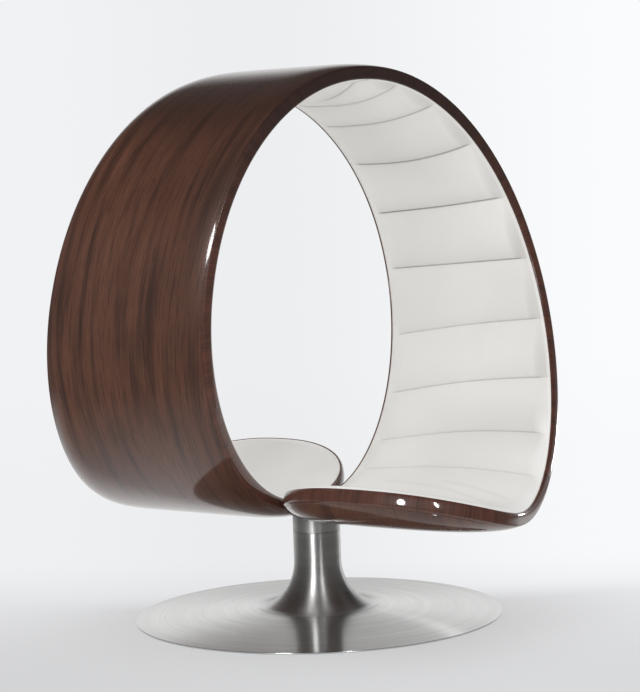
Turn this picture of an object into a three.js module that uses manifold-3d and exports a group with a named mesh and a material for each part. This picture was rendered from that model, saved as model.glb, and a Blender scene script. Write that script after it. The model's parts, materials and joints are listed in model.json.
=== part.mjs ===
import * as THREE from 'three';
import { mergeVertices } from 'three/addons/utils/BufferGeometryUtils.js';
import Module from 'manifold-3d';

// A two-seat pod chair: one wood ribbon curls into a ring and its two ends lie side by side as two
// seats that face opposite ways, on a swivelling steel pedestal.
// Millimetres, +Z up. The ring lies in the XZ plane and is seen through along Y. The origin is on the
// floor, on the column's axis. One half is modelled; the other is the same half turned half way round.

// Clearances
const fitGap = 0.3;
const layerGap = 0.8;
const jointGap = 0.3;
const runningGap = 1;
const mergeDistance = 0.0003;

// The rim's outer corner, seen along Y: an upper arch, a lower arch and a gently rising seat
const topHeight = 1500;
const archHalfSpan = 617;
const widestHeight = 910;
const upperArchPower = 2.095;
const lowerArchPower = 1.93;
const lowPointX = 34;
const lowPointHeight = 294;
const seatRiseShare = 0.408;
const seatRiseBend = 276;
const seatFrontX = -415;

// The ribbon's width along Y and how far its middle moves aside on the way down
const topHalfWidth = 233;
const seatHalfWidth = 364;
const widthShares = [-0.103, 0.52];
const sideShift = 408;
const shiftShares = [0.095, 0.725];
const noseLength = 369;
const nosePower = 2.14;

// Layers through the ribbon's thickness
const rimThickness = 32.5;
const shellThickness = 12;
const shellEdgeInset = 6;
const coverThickness = 6;
const pillowHeight = 9;
const seamDepth = 3;
const seamHalfWidth = 14;
const crownTop = 10;
const crownBody = 20;
const crownNose = 50;
const crownBodyEnd = 1300;
const crownNoseRun = 375;
const crownPower = 9.6;
const crownSoftness = 1.3;

// The rim strip's section: how far it swells out, where the leather meets it, and its rebate
const rimSwell = 4;
const rimSwellLow = 10;
const rimSwellHigh = 22;
const rimRoundInset = 1;
const rimRoundDrop = 2;
const leatherLineInset = 5;
const rimInnerInset = 14;
const rimBedGap = 2;

// Sewn seams, and the seat's further stations, as shares of the ribbon's length from the top of the ring
const seamShares = [0.0658, 0.1126, 0.1636, 0.2404, 0.3173, 0.3887, 0.4673, 0.548, 0.6283, 0.6856];
const seatStationShares = [0.7251, 0.7646, 0.8042];

// The joint at the top of the ring
const dowelRadius = 3;
const dowelLength = 50;
const dowelPlaces = [-150, -60, 60, 150];
const strapHalfLength = 110;
const strapHalfWidth = 120;
const strapThickness = 5;
const strapPocketEnd = 118;
const strapScrewReach = 88;
const strapScrewPlaces = [-90, 0, 90];
const strapScrewHeadRadius = 4.5;
const strapScrewHeadHeight = 2.5;
const strapScrewRadius = 2;
const strapScrewLength = 12;

// The hub under the seats
const hubRadius = 62;
const collarRadius = 65.5;
const collarHeight = 30;
const flangeThickness = 12;
const saddleDrop = 32;
const saddleHeight = 23;
const saddleBottom = lowPointHeight - saddleDrop;
const saddleTop = saddleBottom + saddleHeight;
const saddleBoltX = 24;
const saddleBoltY = 43;
const boltRadius = 5;
const boltHeadRadius = 8;
const boltHeadHeight = 6.4;
const clampBarLength = 72;
const clampBarWidth = 23;
const clampBarRise = 5.5;
const clampBarHeight = 15.5;
const clampBarBottom = saddleTop + clampBarRise;
const clampBarTop = clampBarBottom + clampBarHeight;
const clampBarOverBolt = 2;

// The spindle, its bearings and the post that carries them
const spindleRadius = 20;
const spindleThreadRadius = 14;
const spindleShoulder = 58;
const spindleBottom = 30;
const postRadius = 45;
const postBore = 34;
const postTopDrop = 36;
const postTop = saddleBottom - postTopDrop;
const postFlangeRadius = 80;
const postFlangeThickness = 8;
const postBoltCircle = 62;
const bushLength = 28;
const raceThickness = 5;
const raceInnerRadius = 21.5;
const raceOuterRadius = 36;
const ballRadius = 4;
const ballCircle = 29;
const cageThickness = 3;
const keeperRadius = 30;
const keeperThickness = 5;
const lockNutRadius = 22;
const lockNutHeight = 16;

// The pedestal
const columnTopDrop = 25;
const columnTop = saddleBottom - columnTopDrop;
const columnWall = 2.5;
const flareWall = 3.5;
const columnStraight = 82;
const flareTop = columnTop - columnStraight;
const flareDepth = 133;
const flareReach = 130;
const flareFootRadius = 140;
const columnRingDrop = 22;
const columnRingTop = columnTop - columnRingDrop;
const columnRingHeight = 14;
const discRadius = 508;
const discEdgeTop = 5.5;
const discEdgeBottom = 1.5;
const discCentreHeight = 39.5;
const discSheet = 2;
const discLip = 7;
const discBoreRadius = 50;
const basePlateThickness = 3;
const baseBoreRadius = 40;
const ballastThickness = 11;
const floorRingWidth = 20;
const floorRingHeight = 1.2;

// Counts of steps
const archSteps = 80;
const noseSteps = 7;
const roundSides = 24;
const discSides = 40;
const boltSides = 8;
const nutSides = 6;
const ballSides = 8;
const ballCount = 8;
const postBoltCount = 4;
const flareSteps = 6;

// Places across the ribbon, as shares of the half width at that station
const shellAcrossShares = [-1, -0.95, -0.86, -0.65, 0, 0.65, 0.86, 0.95, 1];
const coverAcrossShares = [-1, -0.96, -0.86, -0.5, 0, 0.5, 0.86, 0.96, 1];
const coverPillowShares = [0, 0, 0.75, 1, 1, 1, 0.75, 0, 0];

// The foam keeps off the shell's facets by this share of the crown
const facetSlackShare = 0.06;

const wasm = await Module();
wasm.setup();

const wood = { color: 0x4b322a, roughness: 0.25, metalness: 0 };
const innerWood = { color: 0xb08a5c, roughness: 0.7, metalness: 0 };
const leather = { color: 0xd9d6d0, roughness: 0.55, metalness: 0 };
const foamYellow = { color: 0xe6d9a0, roughness: 0.95, metalness: 0 };
const brushedSteel = { color: 0xb4b4b2, roughness: 0.35, metalness: 1 };
const darkSteel = { color: 0x5c5e60, roughness: 0.5, metalness: 1 };
const zincSteel = { color: 0xc4c6c8, roughness: 0.3, metalness: 1 };
const bronze = { color: 0xa87b3f, roughness: 0.4, metalness: 1 };
const blackRubber = { color: 0x1c1c1c, roughness: 0.9, metalness: 0 };

// Merges shared vertices, drops triangles without area and turns the faces outwards.
function closeUp(geometry) {
  geometry.deleteAttribute('normal');
  geometry.deleteAttribute('uv');
  const merged = mergeVertices(geometry, mergeDistance);
  const index = merged.index.array;
  const kept = [];
  for (let i = 0; i < index.length; i += 3) {
    const [a, b, c] = [index[i], index[i + 1], index[i + 2]];
    if (a !== b && b !== c && c !== a) kept.push(a, b, c);
  }
  const position = merged.attributes.position;
  const corner = (k) => new THREE.Vector3().fromBufferAttribute(position, kept[k]);
  let volume = 0;
  for (let i = 0; i < kept.length; i += 3) {
    volume += corner(i).dot(corner(i + 1).cross(corner(i + 2)));
  }
  if (volume < 0) kept.reverse();
  merged.setIndex(kept);
  merged.computeVertexNormals();
  return merged;
}

function toManifold(geometry) {
  const closed = closeUp(geometry.clone());
  return new wasm.Manifold(new wasm.Mesh({
    numProp: 3,
    vertProperties: new Float32Array(closed.attributes.position.array),
    triVerts: new Uint32Array(closed.index.array),
  }));
}

function fromManifold(solid) {
  const mesh = solid.getMesh();
  const geometry = new THREE.BufferGeometry();
  geometry.setAttribute('position', new THREE.BufferAttribute(new Float32Array(mesh.vertProperties), 3));
  geometry.setIndex(Array.from(mesh.triVerts));
  return closeUp(geometry);
}

function cut(geometry, tools) {
  let solid = toManifold(geometry);
  for (const tool of tools) solid = solid.subtract(toManifold(tool));
  return fromManifold(solid);
}

function moved(geometry, x, y, z) {
  return geometry.clone().translate(x, y, z);
}

function halfTurned(geometry) {
  return geometry.clone().rotateZ(Math.PI);
}

// A solid turned about Z from a list of [radius, height] pairs.
function turned(outline, sides) {
  const points = outline.map(([radius, height]) => new THREE.Vector2(radius, height));
  return closeUp(new THREE.LatheGeometry(points, sides).rotateX(Math.PI / 2));
}

function ringSolid(inner, outer, bottom, top, sides) {
  return turned([[inner, bottom], [outer, bottom], [outer, top], [inner, top], [inner, bottom]], sides);
}

function discSolid(radius, bottom, top, sides) {
  return turned([[0, bottom], [radius, bottom], [radius, top], [0, top]], sides);
}

// A screw along Z: its head's free face at zero, its shank pointing up.
function screw(headRadius, headHeight, shankRadius, length, spare) {
  return turned([
    [0, -spare],
    [headRadius + spare, -spare],
    [headRadius + spare, headHeight + spare],
    [shankRadius + spare, headHeight + spare],
    [shankRadius + spare, length + spare],
    [0, length + spare],
  ], boltSides);
}

function superellipse(angle, across, up, power) {
  const c = Math.abs(Math.cos(angle));
  const s = Math.abs(Math.sin(angle));
  const reach = (c ** power + s ** power) ** (-1 / power);
  return [across * c * reach, up * s * reach];
}

// The rim's outer corner as a fine line of [x, z] points from the top of the ring to the seat's front.
function rimLine() {
  const line = [];
  const quarter = Math.PI / 2;
  for (let i = 0; i < archSteps; i++) {
    const angle = quarter * (1 - i / archSteps);
    const [x, z] = superellipse(angle, archHalfSpan, topHeight - widestHeight, upperArchPower);
    line.push([x, widestHeight + z]);
  }
  for (let i = 0; i < archSteps; i++) {
    const [x, z] = superellipse(
      quarter * i / archSteps, archHalfSpan - lowPointX, widestHeight - lowPointHeight, lowerArchPower);
    line.push([lowPointX + x, widestHeight - z]);
  }
  for (let i = 0; i <= archSteps; i++) {
    const run = (lowPointX - seatFrontX) * i / archSteps;
    line.push([lowPointX - run, lowPointHeight + seatRiseShare * (Math.hypot(run, seatRiseBend) - seatRiseBend)]);
  }
  return line;
}

const rim = rimLine();
const rimDistances = [0];
for (let i = 1; i < rim.length; i++) {
  rimDistances.push(rimDistances[i - 1] + Math.hypot(rim[i][0] - rim[i - 1][0], rim[i][1] - rim[i - 1][1]));
}
const ribbonLength = rimDistances[rim.length - 1];
const noseStart = ribbonLength - noseLength;
const seamPlaces = seamShares.map((share) => share * ribbonLength);
const seatPlaces = seatStationShares.map((share) => share * ribbonLength);

// The rim line's place and outward direction at a distance from the top.
function rimAt(distance) {
  const place = Math.min(Math.max(distance, 0), ribbonLength);
  let i = rimDistances.findIndex((d) => d > place) - 1;
  if (i < 0) i = rim.length - 2;
  const share = (place - rimDistances[i]) / (rimDistances[i + 1] - rimDistances[i]);
  const slopeAt = (k) => {
    const before = rim[Math.max(k - 1, 0)];
    const after = rim[Math.min(k + 1, rim.length - 1)];
    const run = Math.hypot(after[0] - before[0], after[1] - before[1]);
    return k === 0 ? [1, 0] : [(after[0] - before[0]) / run, (after[1] - before[1]) / run];
  };
  const mix = (a, b) => a + (b - a) * share;
  const [from, to] = [slopeAt(i), slopeAt(i + 1)];
  const along = [mix(from[0], to[0]), mix(from[1], to[1])];
  const size = Math.hypot(along[0], along[1]);
  return {
    x: mix(rim[i][0], rim[i + 1][0]),
    z: mix(rim[i][1], rim[i + 1][1]),
    outX: -along[1] / size,
    outZ: along[0] / size,
  };
}

function ease(t, [first, second]) {
  return 3 * (1 - t) ** 2 * t * first + 3 * (1 - t) * t ** 2 * second + t ** 3;
}

function softStep(t) {
  const held = Math.min(Math.max(t, 0), 1);
  return held * held * (3 - 2 * held);
}

function middleAt(distance) {
  return -sideShift * ease(distance / ribbonLength, shiftShares);
}

function halfWidthAt(distance) {
  return topHalfWidth + (seatHalfWidth - topHalfWidth) * ease(distance / ribbonLength, widthShares);
}

// A station lies at a fixed distance, or on the nose at a share of the nose's length less the inset.
function stationDistance(station, inset) {
  if (station.noseShare === undefined) return station.distance;
  return noseStart + (noseLength - inset) * station.noseShare;
}

function spanAt(station, inset) {
  const distance = stationDistance(station, inset);
  const closing = (1 - (station.noseShare ?? 0) ** nosePower) ** (1 / nosePower);
  return { distance, middle: middleAt(distance), half: (halfWidthAt(distance) - inset) * closing };
}

function crownDepth(distance) {
  return crownTop
    + (crownBody - crownTop) * softStep(distance / crownBodyEnd)
    + (crownNose - crownBody) * softStep((distance - ribbonLength + crownNoseRun) / crownNoseRun);
}

// How far the wood swells out of the rim's line: flat across, rounded near its edges.
function crownAt(distance, y) {
  const across = Math.abs(y - middleAt(distance)) / halfWidthAt(distance);
  const along = Math.max(distance - noseStart, 0) / noseLength;
  const level = Math.min((across ** nosePower + along ** nosePower) ** (1 / nosePower), 1);
  return crownDepth(distance) * (1 - level ** crownPower) ** crownSoftness;
}

function placeOn(distance, y, depth) {
  const at = rimAt(distance);
  return new THREE.Vector3(at.x + at.outX * depth, y, at.z + at.outZ * depth);
}

// Coarse stations carry every layer; the cover has finer ones beside each seam, on the same facets.
function coarseStations() {
  const places = [jointGap / 2, strapPocketEnd / 2, strapPocketEnd];
  for (const [i, seam] of seamPlaces.entries()) {
    if (i > 0) places.push((seamPlaces[i - 1] + seam) / 2);
    places.push(seam);
  }
  places.push(...seatPlaces, noseStart);
  const stations = places.map((distance) => ({ distance }));
  for (let i = 1; i <= noseSteps; i++) {
    stations.push({ noseShare: Math.sin(Math.PI / 2 * i / noseSteps) ** (2 / nosePower) });
  }
  return stations;
}

const stations = coarseStations();

function fineStations() {
  const list = [];
  for (const [i, station] of stations.entries()) {
    const isSeam = seamPlaces.includes(station.distance);
    if (isSeam) list.push(between(station.distance - seamHalfWidth, i - 1));
    list.push({ low: station, high: station, share: 0, isSeam });
    if (isSeam) list.push(between(station.distance + seamHalfWidth, i));
  }
  return list;
}

function between(distance, i) {
  const [low, high] = [stations[i], stations[i + 1]];
  return { low, high, share: (distance - low.distance) / (high.distance - low.distance), isSeam: false };
}

function acrossPoint(station, across, inset, depthAt) {
  const span = spanAt(station, inset);
  const y = span.middle + across * span.half;
  return placeOn(span.distance, y, depthAt(span.distance, y));
}

// A body swept through closed rings of points, each facet split along its shorter diagonal; an end
// ring with area gets a flat cap.
function sweptBody(rings, capStart, capEnd) {
  const count = rings[0].length;
  const positions = rings.flat().flatMap((point) => [point.x, point.y, point.z]);
  const index = [];
  for (let i = 0; i + 1 < rings.length; i++) {
    for (let j = 0; j < count; j++) {
      const next = (j + 1) % count;
      const [a, b, c, d] = [i * count + j, i * count + next, (i + 1) * count + next, (i + 1) * count + j];
      const splitsAtA = rings[i][j].distanceTo(rings[i + 1][next]) < rings[i][next].distanceTo(rings[i + 1][j]);
      index.push(...(splitsAtA ? [a, b, c, a, c, d] : [a, b, d, b, c, d]));
    }
  }
  const flat = (ring) => ring.map((point) => new THREE.Vector2(point.y, point.z));
  const cap = (ring, offset, flip) => {
    const plain = flat(ring);
    const clockwise = THREE.ShapeUtils.isClockWise(plain);
    const order = plain.map((_, k) => (clockwise ? plain.length - 1 - k : k));
    for (const face of THREE.ShapeUtils.triangulateShape(order.map((k) => plain[k]), [])) {
      const [a, b, c] = face.map((k) => order[k] + offset);
      index.push(...(clockwise === flip ? [a, b, c] : [a, c, b]));
    }
  };
  if (capStart) cap(rings[0], 0, true);
  if (capEnd) cap(rings[rings.length - 1], (rings.length - 1) * count, false);
  const geometry = new THREE.BufferGeometry();
  geometry.setAttribute('position', new THREE.Float32BufferAttribute(positions, 3));
  geometry.setIndex(index);
  return closeUp(geometry);
}

// A layer of the ribbon between two surfaces, each a function of the distance and the place across.
function layerBody(inset, innerShares, innerDepth, outerShares, outerDepth) {
  return sweptBody(stations.map((station) => [
    ...innerShares.map((across) => acrossPoint(station, across, inset, innerDepth)),
    ...[...outerShares].reverse().map((across) => acrossPoint(station, across, inset, outerDepth)),
  ]), true, false);
}

const shellInside = (distance, y) => crownAt(distance, y) - shellThickness;
const coverUnderside = coverThickness - rimThickness;
const edgeShares = [-1, 1];

function shellBody() {
  return layerBody(shellEdgeInset, shellAcrossShares, shellInside, shellAcrossShares, crownAt);
}

function foamBody() {
  const underside = (distance, y) => {
    const pocket = distance <= strapPocketEnd ? strapThickness + fitGap : 0;
    return shellInside(distance, y) - fitGap - facetSlackShare * crownDepth(distance) - pocket;
  };
  return layerBody(
    rimInnerInset + layerGap, edgeShares, () => coverUnderside + fitGap, shellAcrossShares, underside);
}

// The outer form of one seat, grown by the fitting gap, that shapes what fits up against it.
function seatEnvelope() {
  const outside = (distance, y) => crownAt(distance, y) + fitGap;
  return layerBody(shellEdgeInset, edgeShares, () => -rimThickness, shellAcrossShares, outside);
}

function coverBody() {
  const inset = leatherLineInset + fitGap;
  const pointAt = ({ low, high, share }, across, depth) => {
    const from = acrossPoint(low, across, inset, () => depth);
    const to = acrossPoint(high, across, inset, () => depth);
    return from.lerp(to, share);
  };
  const rings = fineStations().map((station) => {
    const isEnd = station.low.noseShare !== undefined || station.low === stations[0];
    const swell = station.isSeam ? -seamDepth : (isEnd ? 0 : pillowHeight);
    const top = coverAcrossShares.map(
      (across, j) => pointAt(station, across, -rimThickness - swell * coverPillowShares[j]));
    return [...top, ...[1, -1].map((across) => pointAt(station, across, coverUnderside))];
  });
  return sweptBody(rings, true, false);
}

// The wood strip round the edge of one half: down one side, round the nose and back up the other.
function rimStripBody() {
  const ring = (station, side) => {
    const at = (inset, depth) => acrossPoint(station, side, inset, () => depth);
    const edgeInset = shellEdgeInset - layerGap;
    const overShell = (gap) => (distance, y) => shellInside(distance, y) - gap;
    return [
      at(0, 0),
      at(-rimSwell, -rimSwellLow),
      at(-rimSwell, -rimSwellHigh),
      at(rimRoundInset, rimRoundDrop - rimThickness),
      at(leatherLineInset, -rimThickness),
      at(leatherLineInset, coverUnderside + fitGap),
      at(rimInnerInset, coverUnderside + fitGap),
      acrossPoint(station, side, rimInnerInset, overShell(rimBedGap)),
      acrossPoint(station, side, edgeInset, overShell(fitGap)),
      acrossPoint(station, side, edgeInset, crownAt),
    ];
  };
  const down = stations.map((station) => ring(station, -1));
  const back = stations.slice(0, -1).reverse().map((station) => ring(station, 1));
  return sweptBody([...down, ...back], true, true);
}

const boltPlaces = [-saddleBoltX, saddleBoltX].map((x) => [x, -saddleBoltY]);
const boltSeat = saddleBottom - fitGap - flangeThickness - boltHeadHeight;
const boltLength = clampBarTop - clampBarOverBolt - boltSeat;

function saddleBolt(spare) {
  return screw(boltHeadRadius, boltHeadHeight, boltRadius, boltLength, spare);
}

function boltVoids() {
  const near = boltPlaces.map(([x, y]) => moved(saddleBolt(fitGap), x, y, boltSeat));
  return [...near, ...near.map(halfTurned)];
}

// Strap screws stand square to the ribbon, their heads let into the strap from inside the ring.
function strapScrew(x, y, spare) {
  const at = rimAt(Math.abs(x));
  const headDepth = strapFace(Math.abs(x)) - strapThickness;
  const body = screw(strapScrewHeadRadius, strapScrewHeadHeight, strapScrewRadius, strapScrewLength, spare);
  body.rotateY(Math.atan2(at.outX, at.outZ));
  body.translate(at.x + at.outX * headDepth, y, at.z + at.outZ * headDepth);
  return x < 0 ? halfTurned(body) : body;
}

function strapFace(distance) {
  return crownAt(distance, middleAt(distance) + strapHalfWidth) - shellThickness - layerGap;
}

// The strap lies on the shell's facets, which turn at the joint and at half the pocket's length.
function strapBody() {
  const bend = strapPocketEnd / 2;
  const halfRings = [0, bend, strapHalfLength].map((distance) => {
    const outer = strapFace(distance);
    const share = Math.max(distance / bend - 1, 0);
    const at = (y, depth) => (
      placeOn(Math.min(distance, bend), y, depth).lerp(placeOn(strapPocketEnd, y, depth), share));
    return [
      at(-strapHalfWidth, outer),
      at(strapHalfWidth, outer),
      at(strapHalfWidth, outer - strapThickness),
      at(-strapHalfWidth, outer - strapThickness),
    ];
  });
  const mirrored = halfRings.slice(1).reverse().map(
    (points) => points.map((point) => new THREE.Vector3(-point.x, point.y, point.z)));
  return sweptBody([...mirrored, ...halfRings], true, true);
}

function dowel(y, spare) {
  const half = dowelLength / 2 + spare;
  const height = topHeight + crownTop - shellThickness / 2 - dowelSag();
  return discSolid(dowelRadius + spare, -half, half, boltSides).rotateY(Math.PI / 2).translate(0, y, height);
}

// The shell falls away from the top of the ring along a dowel's half length; the dowel shares the drop.
function dowelSag() {
  return (topHeight - rimAt(dowelLength / 2).z) / 2;
}

function clampBar(spare) {
  const bar = new THREE.BoxGeometry(
    clampBarLength + spare * 2, clampBarWidth + spare * 2, clampBarTop - clampBarBottom + spare * 2);
  return bar.translate(0, -saddleBoltY, (clampBarTop + clampBarBottom) / 2);
}

const group = new THREE.Group();
const podGroup = new THREE.Group();
const baseGroup = new THREE.Group();
group.add(podGroup, baseGroup);

function add(parent, name, geometry, finish) {
  const mesh = new THREE.Mesh(geometry, new THREE.MeshStandardMaterial(finish));
  mesh.name = name;
  parent.add(mesh);
  return mesh;
}

function addPair(name, geometry, finish) {
  add(podGroup, `${name}_front`, geometry, finish);
  add(podGroup, `${name}_rear`, geometry, finish).rotation.z = Math.PI;
}

const strapScrewReaches = [-strapScrewReach, strapScrewReach];

function addRibbon() {
  const dowelVoids = dowelPlaces.map((y) => dowel(y, fitGap));
  const screwVoids = strapScrewPlaces.map((y) => strapScrew(strapScrewReach, y, fitGap));
  const shell = cut(shellBody(), [...dowelVoids, ...screwVoids, ...boltVoids()]);
  addPair('shell', shell, wood);
  addPair('rim_strip', rimStripBody(), wood);
  addPair('foam', cut(foamBody(), [clampBar(fitGap)]), foamYellow);
  addPair('leather_cover', coverBody(), leather);
  const floor = [fitGap, -shellThickness / 2].map((rise) => moved(shellBody(), 0, 0, rise));
  addPair('clamp_bar', cut(clampBar(0), [...floor, ...boltVoids()]), darkSteel);
}

function addTopJoint() {
  dowelPlaces.forEach((y, i) => add(podGroup, `joint_dowel_${i + 1}`, dowel(y, 0), innerWood));
  const allVoids = strapScrewReaches.flatMap((x) => strapScrewPlaces.map((y) => strapScrew(x, y, fitGap)));
  add(podGroup, 'splice_strap', cut(strapBody(), allVoids), innerWood);
  let number = 0;
  for (const x of strapScrewReaches) {
    for (const y of strapScrewPlaces) {
      number += 1;
      add(podGroup, `strap_screw_${number}`, strapScrew(x, y, 0), zincSteel);
    }
  }
}

function addHub() {
  const envelope = seatEnvelope();
  const block = discSolid(hubRadius, saddleBottom, saddleTop, roundSides);
  add(podGroup, 'saddle', cut(block, [envelope, halfTurned(envelope), ...boltVoids()]), darkSteel);
  const places = [...boltPlaces, ...boltPlaces.map(([x, y]) => [-x, -y])];
  places.forEach(([x, y], i) => {
    add(podGroup, `saddle_bolt_${i + 1}`, moved(saddleBolt(0), x, y, boltSeat), zincSteel);
  });
  const flangeTop = saddleBottom - fitGap;
  const spindle = turned([
    [0, spindleBottom],
    [spindleThreadRadius, spindleBottom],
    [spindleThreadRadius, spindleShoulder],
    [spindleRadius, spindleShoulder],
    [spindleRadius, flangeTop - flangeThickness],
    [hubRadius, flangeTop - flangeThickness],
    [hubRadius, flangeTop],
    [0, flangeTop],
  ], roundSides);
  add(podGroup, 'spindle', cut(spindle, boltVoids()), darkSteel);
  const collarBottom = columnTop + runningGap;
  add(podGroup, 'swivel_collar',
    ringSolid(hubRadius + fitGap, collarRadius, collarBottom, collarBottom + collarHeight, roundSides),
    brushedSteel);
  const keeperTop = spindleShoulder - fitGap;
  const keeperBore = spindleThreadRadius + fitGap;
  add(podGroup, 'keeper_washer',
    ringSolid(keeperBore, keeperRadius, keeperTop - keeperThickness, keeperTop, roundSides), zincSteel);
  const nutTop = keeperTop - keeperThickness - fitGap;
  add(podGroup, 'lock_nut',
    ringSolid(keeperBore / Math.cos(Math.PI / nutSides), lockNutRadius, nutTop - lockNutHeight, nutTop, nutSides),
    zincSteel);
}

function addBearing() {
  const lowerTop = postTop + fitGap + raceThickness;
  const ballCentre = lowerTop + fitGap + ballRadius;
  const upperBottom = ballCentre + ballRadius + fitGap;
  const upperTop = saddleBottom - fitGap * 2 - flangeThickness;
  add(baseGroup, 'lower_race',
    ringSolid(raceInnerRadius, raceOuterRadius, postTop + fitGap, lowerTop, roundSides), zincSteel);
  add(podGroup, 'upper_race',
    ringSolid(raceInnerRadius, raceOuterRadius, upperBottom, upperTop, roundSides), zincSteel);
  const cageGroup = new THREE.Group();
  group.add(cageGroup);
  const cage = ringSolid(
    raceInnerRadius, raceOuterRadius, ballCentre - cageThickness / 2, ballCentre + cageThickness / 2, roundSides);
  const balls = [];
  const voids = [];
  for (let i = 0; i < ballCount; i++) {
    const angle = 2 * Math.PI * i / ballCount;
    const place = [ballCircle * Math.cos(angle), ballCircle * Math.sin(angle), ballCentre];
    balls.push(moved(new THREE.SphereGeometry(ballRadius, ballSides, ballSides / 2), ...place));
    voids.push(moved(discSolid(ballRadius + fitGap, -ballRadius, ballRadius, boltSides), ...place));
  }
  add(cageGroup, 'ball_cage', cut(cage, voids), bronze);
  balls.forEach((ball, i) => add(cageGroup, `bearing_ball_${i + 1}`, closeUp(ball), zincSteel));
}

function discTopAt(radius) {
  return discCentreHeight + (discEdgeTop - discCentreHeight) * radius / discRadius;
}

function discRadiusAt(height) {
  return discRadius * (discCentreHeight - height) / (discCentreHeight - discEdgeTop);
}

function addPedestal() {
  const plateTop = discEdgeBottom + basePlateThickness;
  const plateRadius = discRadius - discLip - fitGap;
  add(baseGroup, 'floor_ring',
    ringSolid(plateRadius - floorRingWidth, plateRadius, 0, floorRingHeight, discSides), blackRubber);
  const ballastTop = plateTop + fitGap + ballastThickness;
  const ballastRadius = discRadiusAt(ballastTop + fitGap + discSheet);
  const flangeBottom = ballastTop + fitGap;
  const flangeTop = flangeBottom + postFlangeThickness;
  const boltBottom = discEdgeBottom;
  const postBolt = (spare) => screw(
    boltHeadRadius, boltHeadHeight, boltRadius, flangeTop + fitGap + boltHeadHeight - boltBottom, spare)
    .rotateX(Math.PI).translate(postBoltCircle, 0, flangeTop + fitGap + boltHeadHeight);
  const bolts = (spare) => Array.from({ length: postBoltCount }, (_, i) => (
    postBolt(spare).rotateZ(Math.PI * (2 * i + 1) / postBoltCount)));
  const voids = bolts(fitGap);
  add(baseGroup, 'base_plate',
    cut(ringSolid(baseBoreRadius, plateRadius, discEdgeBottom, plateTop, discSides), voids), darkSteel);
  add(baseGroup, 'ballast_plate',
    cut(ringSolid(baseBoreRadius, ballastRadius, plateTop + fitGap, ballastTop, discSides), voids), darkSteel);
  const post = turned([
    [postBore, flangeBottom],
    [postFlangeRadius, flangeBottom],
    [postFlangeRadius, flangeTop],
    [postRadius, flangeTop],
    [postRadius, postTop],
    [postBore, postTop],
    [postBore, flangeBottom],
  ], roundSides);
  add(baseGroup, 'centre_post', cut(post, voids), darkSteel);
  bolts(0).forEach((bolt, i) => add(baseGroup, `post_bolt_${i + 1}`, closeUp(bolt), zincSteel));
  const bushBore = spindleRadius + fitGap;
  const bushOuter = postBore - fitGap;
  const lowerBushBottom = spindleShoulder + fitGap;
  for (const [name, bottom] of [['lower_bush', lowerBushBottom], ['upper_bush', postTop - bushLength]]) {
    add(baseGroup, name, ringSolid(bushBore, bushOuter, bottom, bottom + bushLength, roundSides), bronze);
  }
  add(baseGroup, 'column_ring', ringSolid(
    postRadius + fitGap, collarRadius - columnWall - fitGap,
    columnRingTop - columnRingHeight, columnRingTop, roundSides), darkSteel);
  addDisc(plateRadius, plateTop);
  addTrumpet();
}

function addDisc(plateRadius, plateTop) {
  const lipInner = plateRadius + fitGap;
  add(baseGroup, 'base_disc', turned([
    [discBoreRadius, discTopAt(discBoreRadius) - discSheet],
    [lipInner, plateTop + fitGap],
    [lipInner, discEdgeBottom],
    [discRadius, discEdgeBottom],
    [discRadius, discEdgeTop],
    [discBoreRadius, discTopAt(discBoreRadius)],
    [discBoreRadius, discTopAt(discBoreRadius) - discSheet],
  ], discSides), brushedSteel);
}

// The column's skin: straight at the top, then an elliptic flare down to the disc.
function addTrumpet() {
  const footAngle = Math.acos(1 - (flareFootRadius - collarRadius) / flareReach);
  const flare = (wall) => Array.from({ length: flareSteps + 1 }, (_, i) => {
    const angle = footAngle * i / flareSteps;
    const radius = collarRadius - wall + flareReach * (1 - Math.cos(angle));
    const height = i === flareSteps ? discTopAt(radius) + fitGap : flareTop - flareDepth * Math.sin(angle);
    return [radius, height];
  });
  const outside = flare(0);
  const inside = flare(flareWall);
  const wallTop = collarRadius - columnWall;
  add(baseGroup, 'column_trumpet', turned([
    [wallTop, columnTop],
    [wallTop, flareTop],
    ...inside.slice(1),
    ...outside.reverse(),
    [collarRadius, columnTop],
    [wallTop, columnTop],
  ], roundSides), brushedSteel);
}

addRibbon();
addTopJoint();
addHub();
addBearing();
addPedestal();

export default group;
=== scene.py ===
import json
import math

import bpy
import numpy as np
from mathutils import Matrix, Vector


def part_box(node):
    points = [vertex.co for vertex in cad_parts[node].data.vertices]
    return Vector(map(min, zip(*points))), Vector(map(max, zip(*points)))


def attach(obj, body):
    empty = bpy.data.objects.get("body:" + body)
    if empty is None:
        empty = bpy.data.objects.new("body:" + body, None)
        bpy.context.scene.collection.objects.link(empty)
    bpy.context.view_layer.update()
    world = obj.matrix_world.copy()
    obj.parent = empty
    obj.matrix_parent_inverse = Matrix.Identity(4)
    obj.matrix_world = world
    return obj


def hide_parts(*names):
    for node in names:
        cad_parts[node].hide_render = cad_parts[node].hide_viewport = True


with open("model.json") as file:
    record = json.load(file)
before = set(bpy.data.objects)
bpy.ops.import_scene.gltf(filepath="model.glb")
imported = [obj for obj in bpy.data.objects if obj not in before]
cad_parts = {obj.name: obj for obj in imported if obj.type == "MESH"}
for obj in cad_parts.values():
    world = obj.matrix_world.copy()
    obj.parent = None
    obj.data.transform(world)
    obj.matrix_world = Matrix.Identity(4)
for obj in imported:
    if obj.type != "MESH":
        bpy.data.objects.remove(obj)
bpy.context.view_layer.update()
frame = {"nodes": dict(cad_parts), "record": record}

bpy.ops.object.select_all(action="DESELECT")

# Sizes

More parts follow.
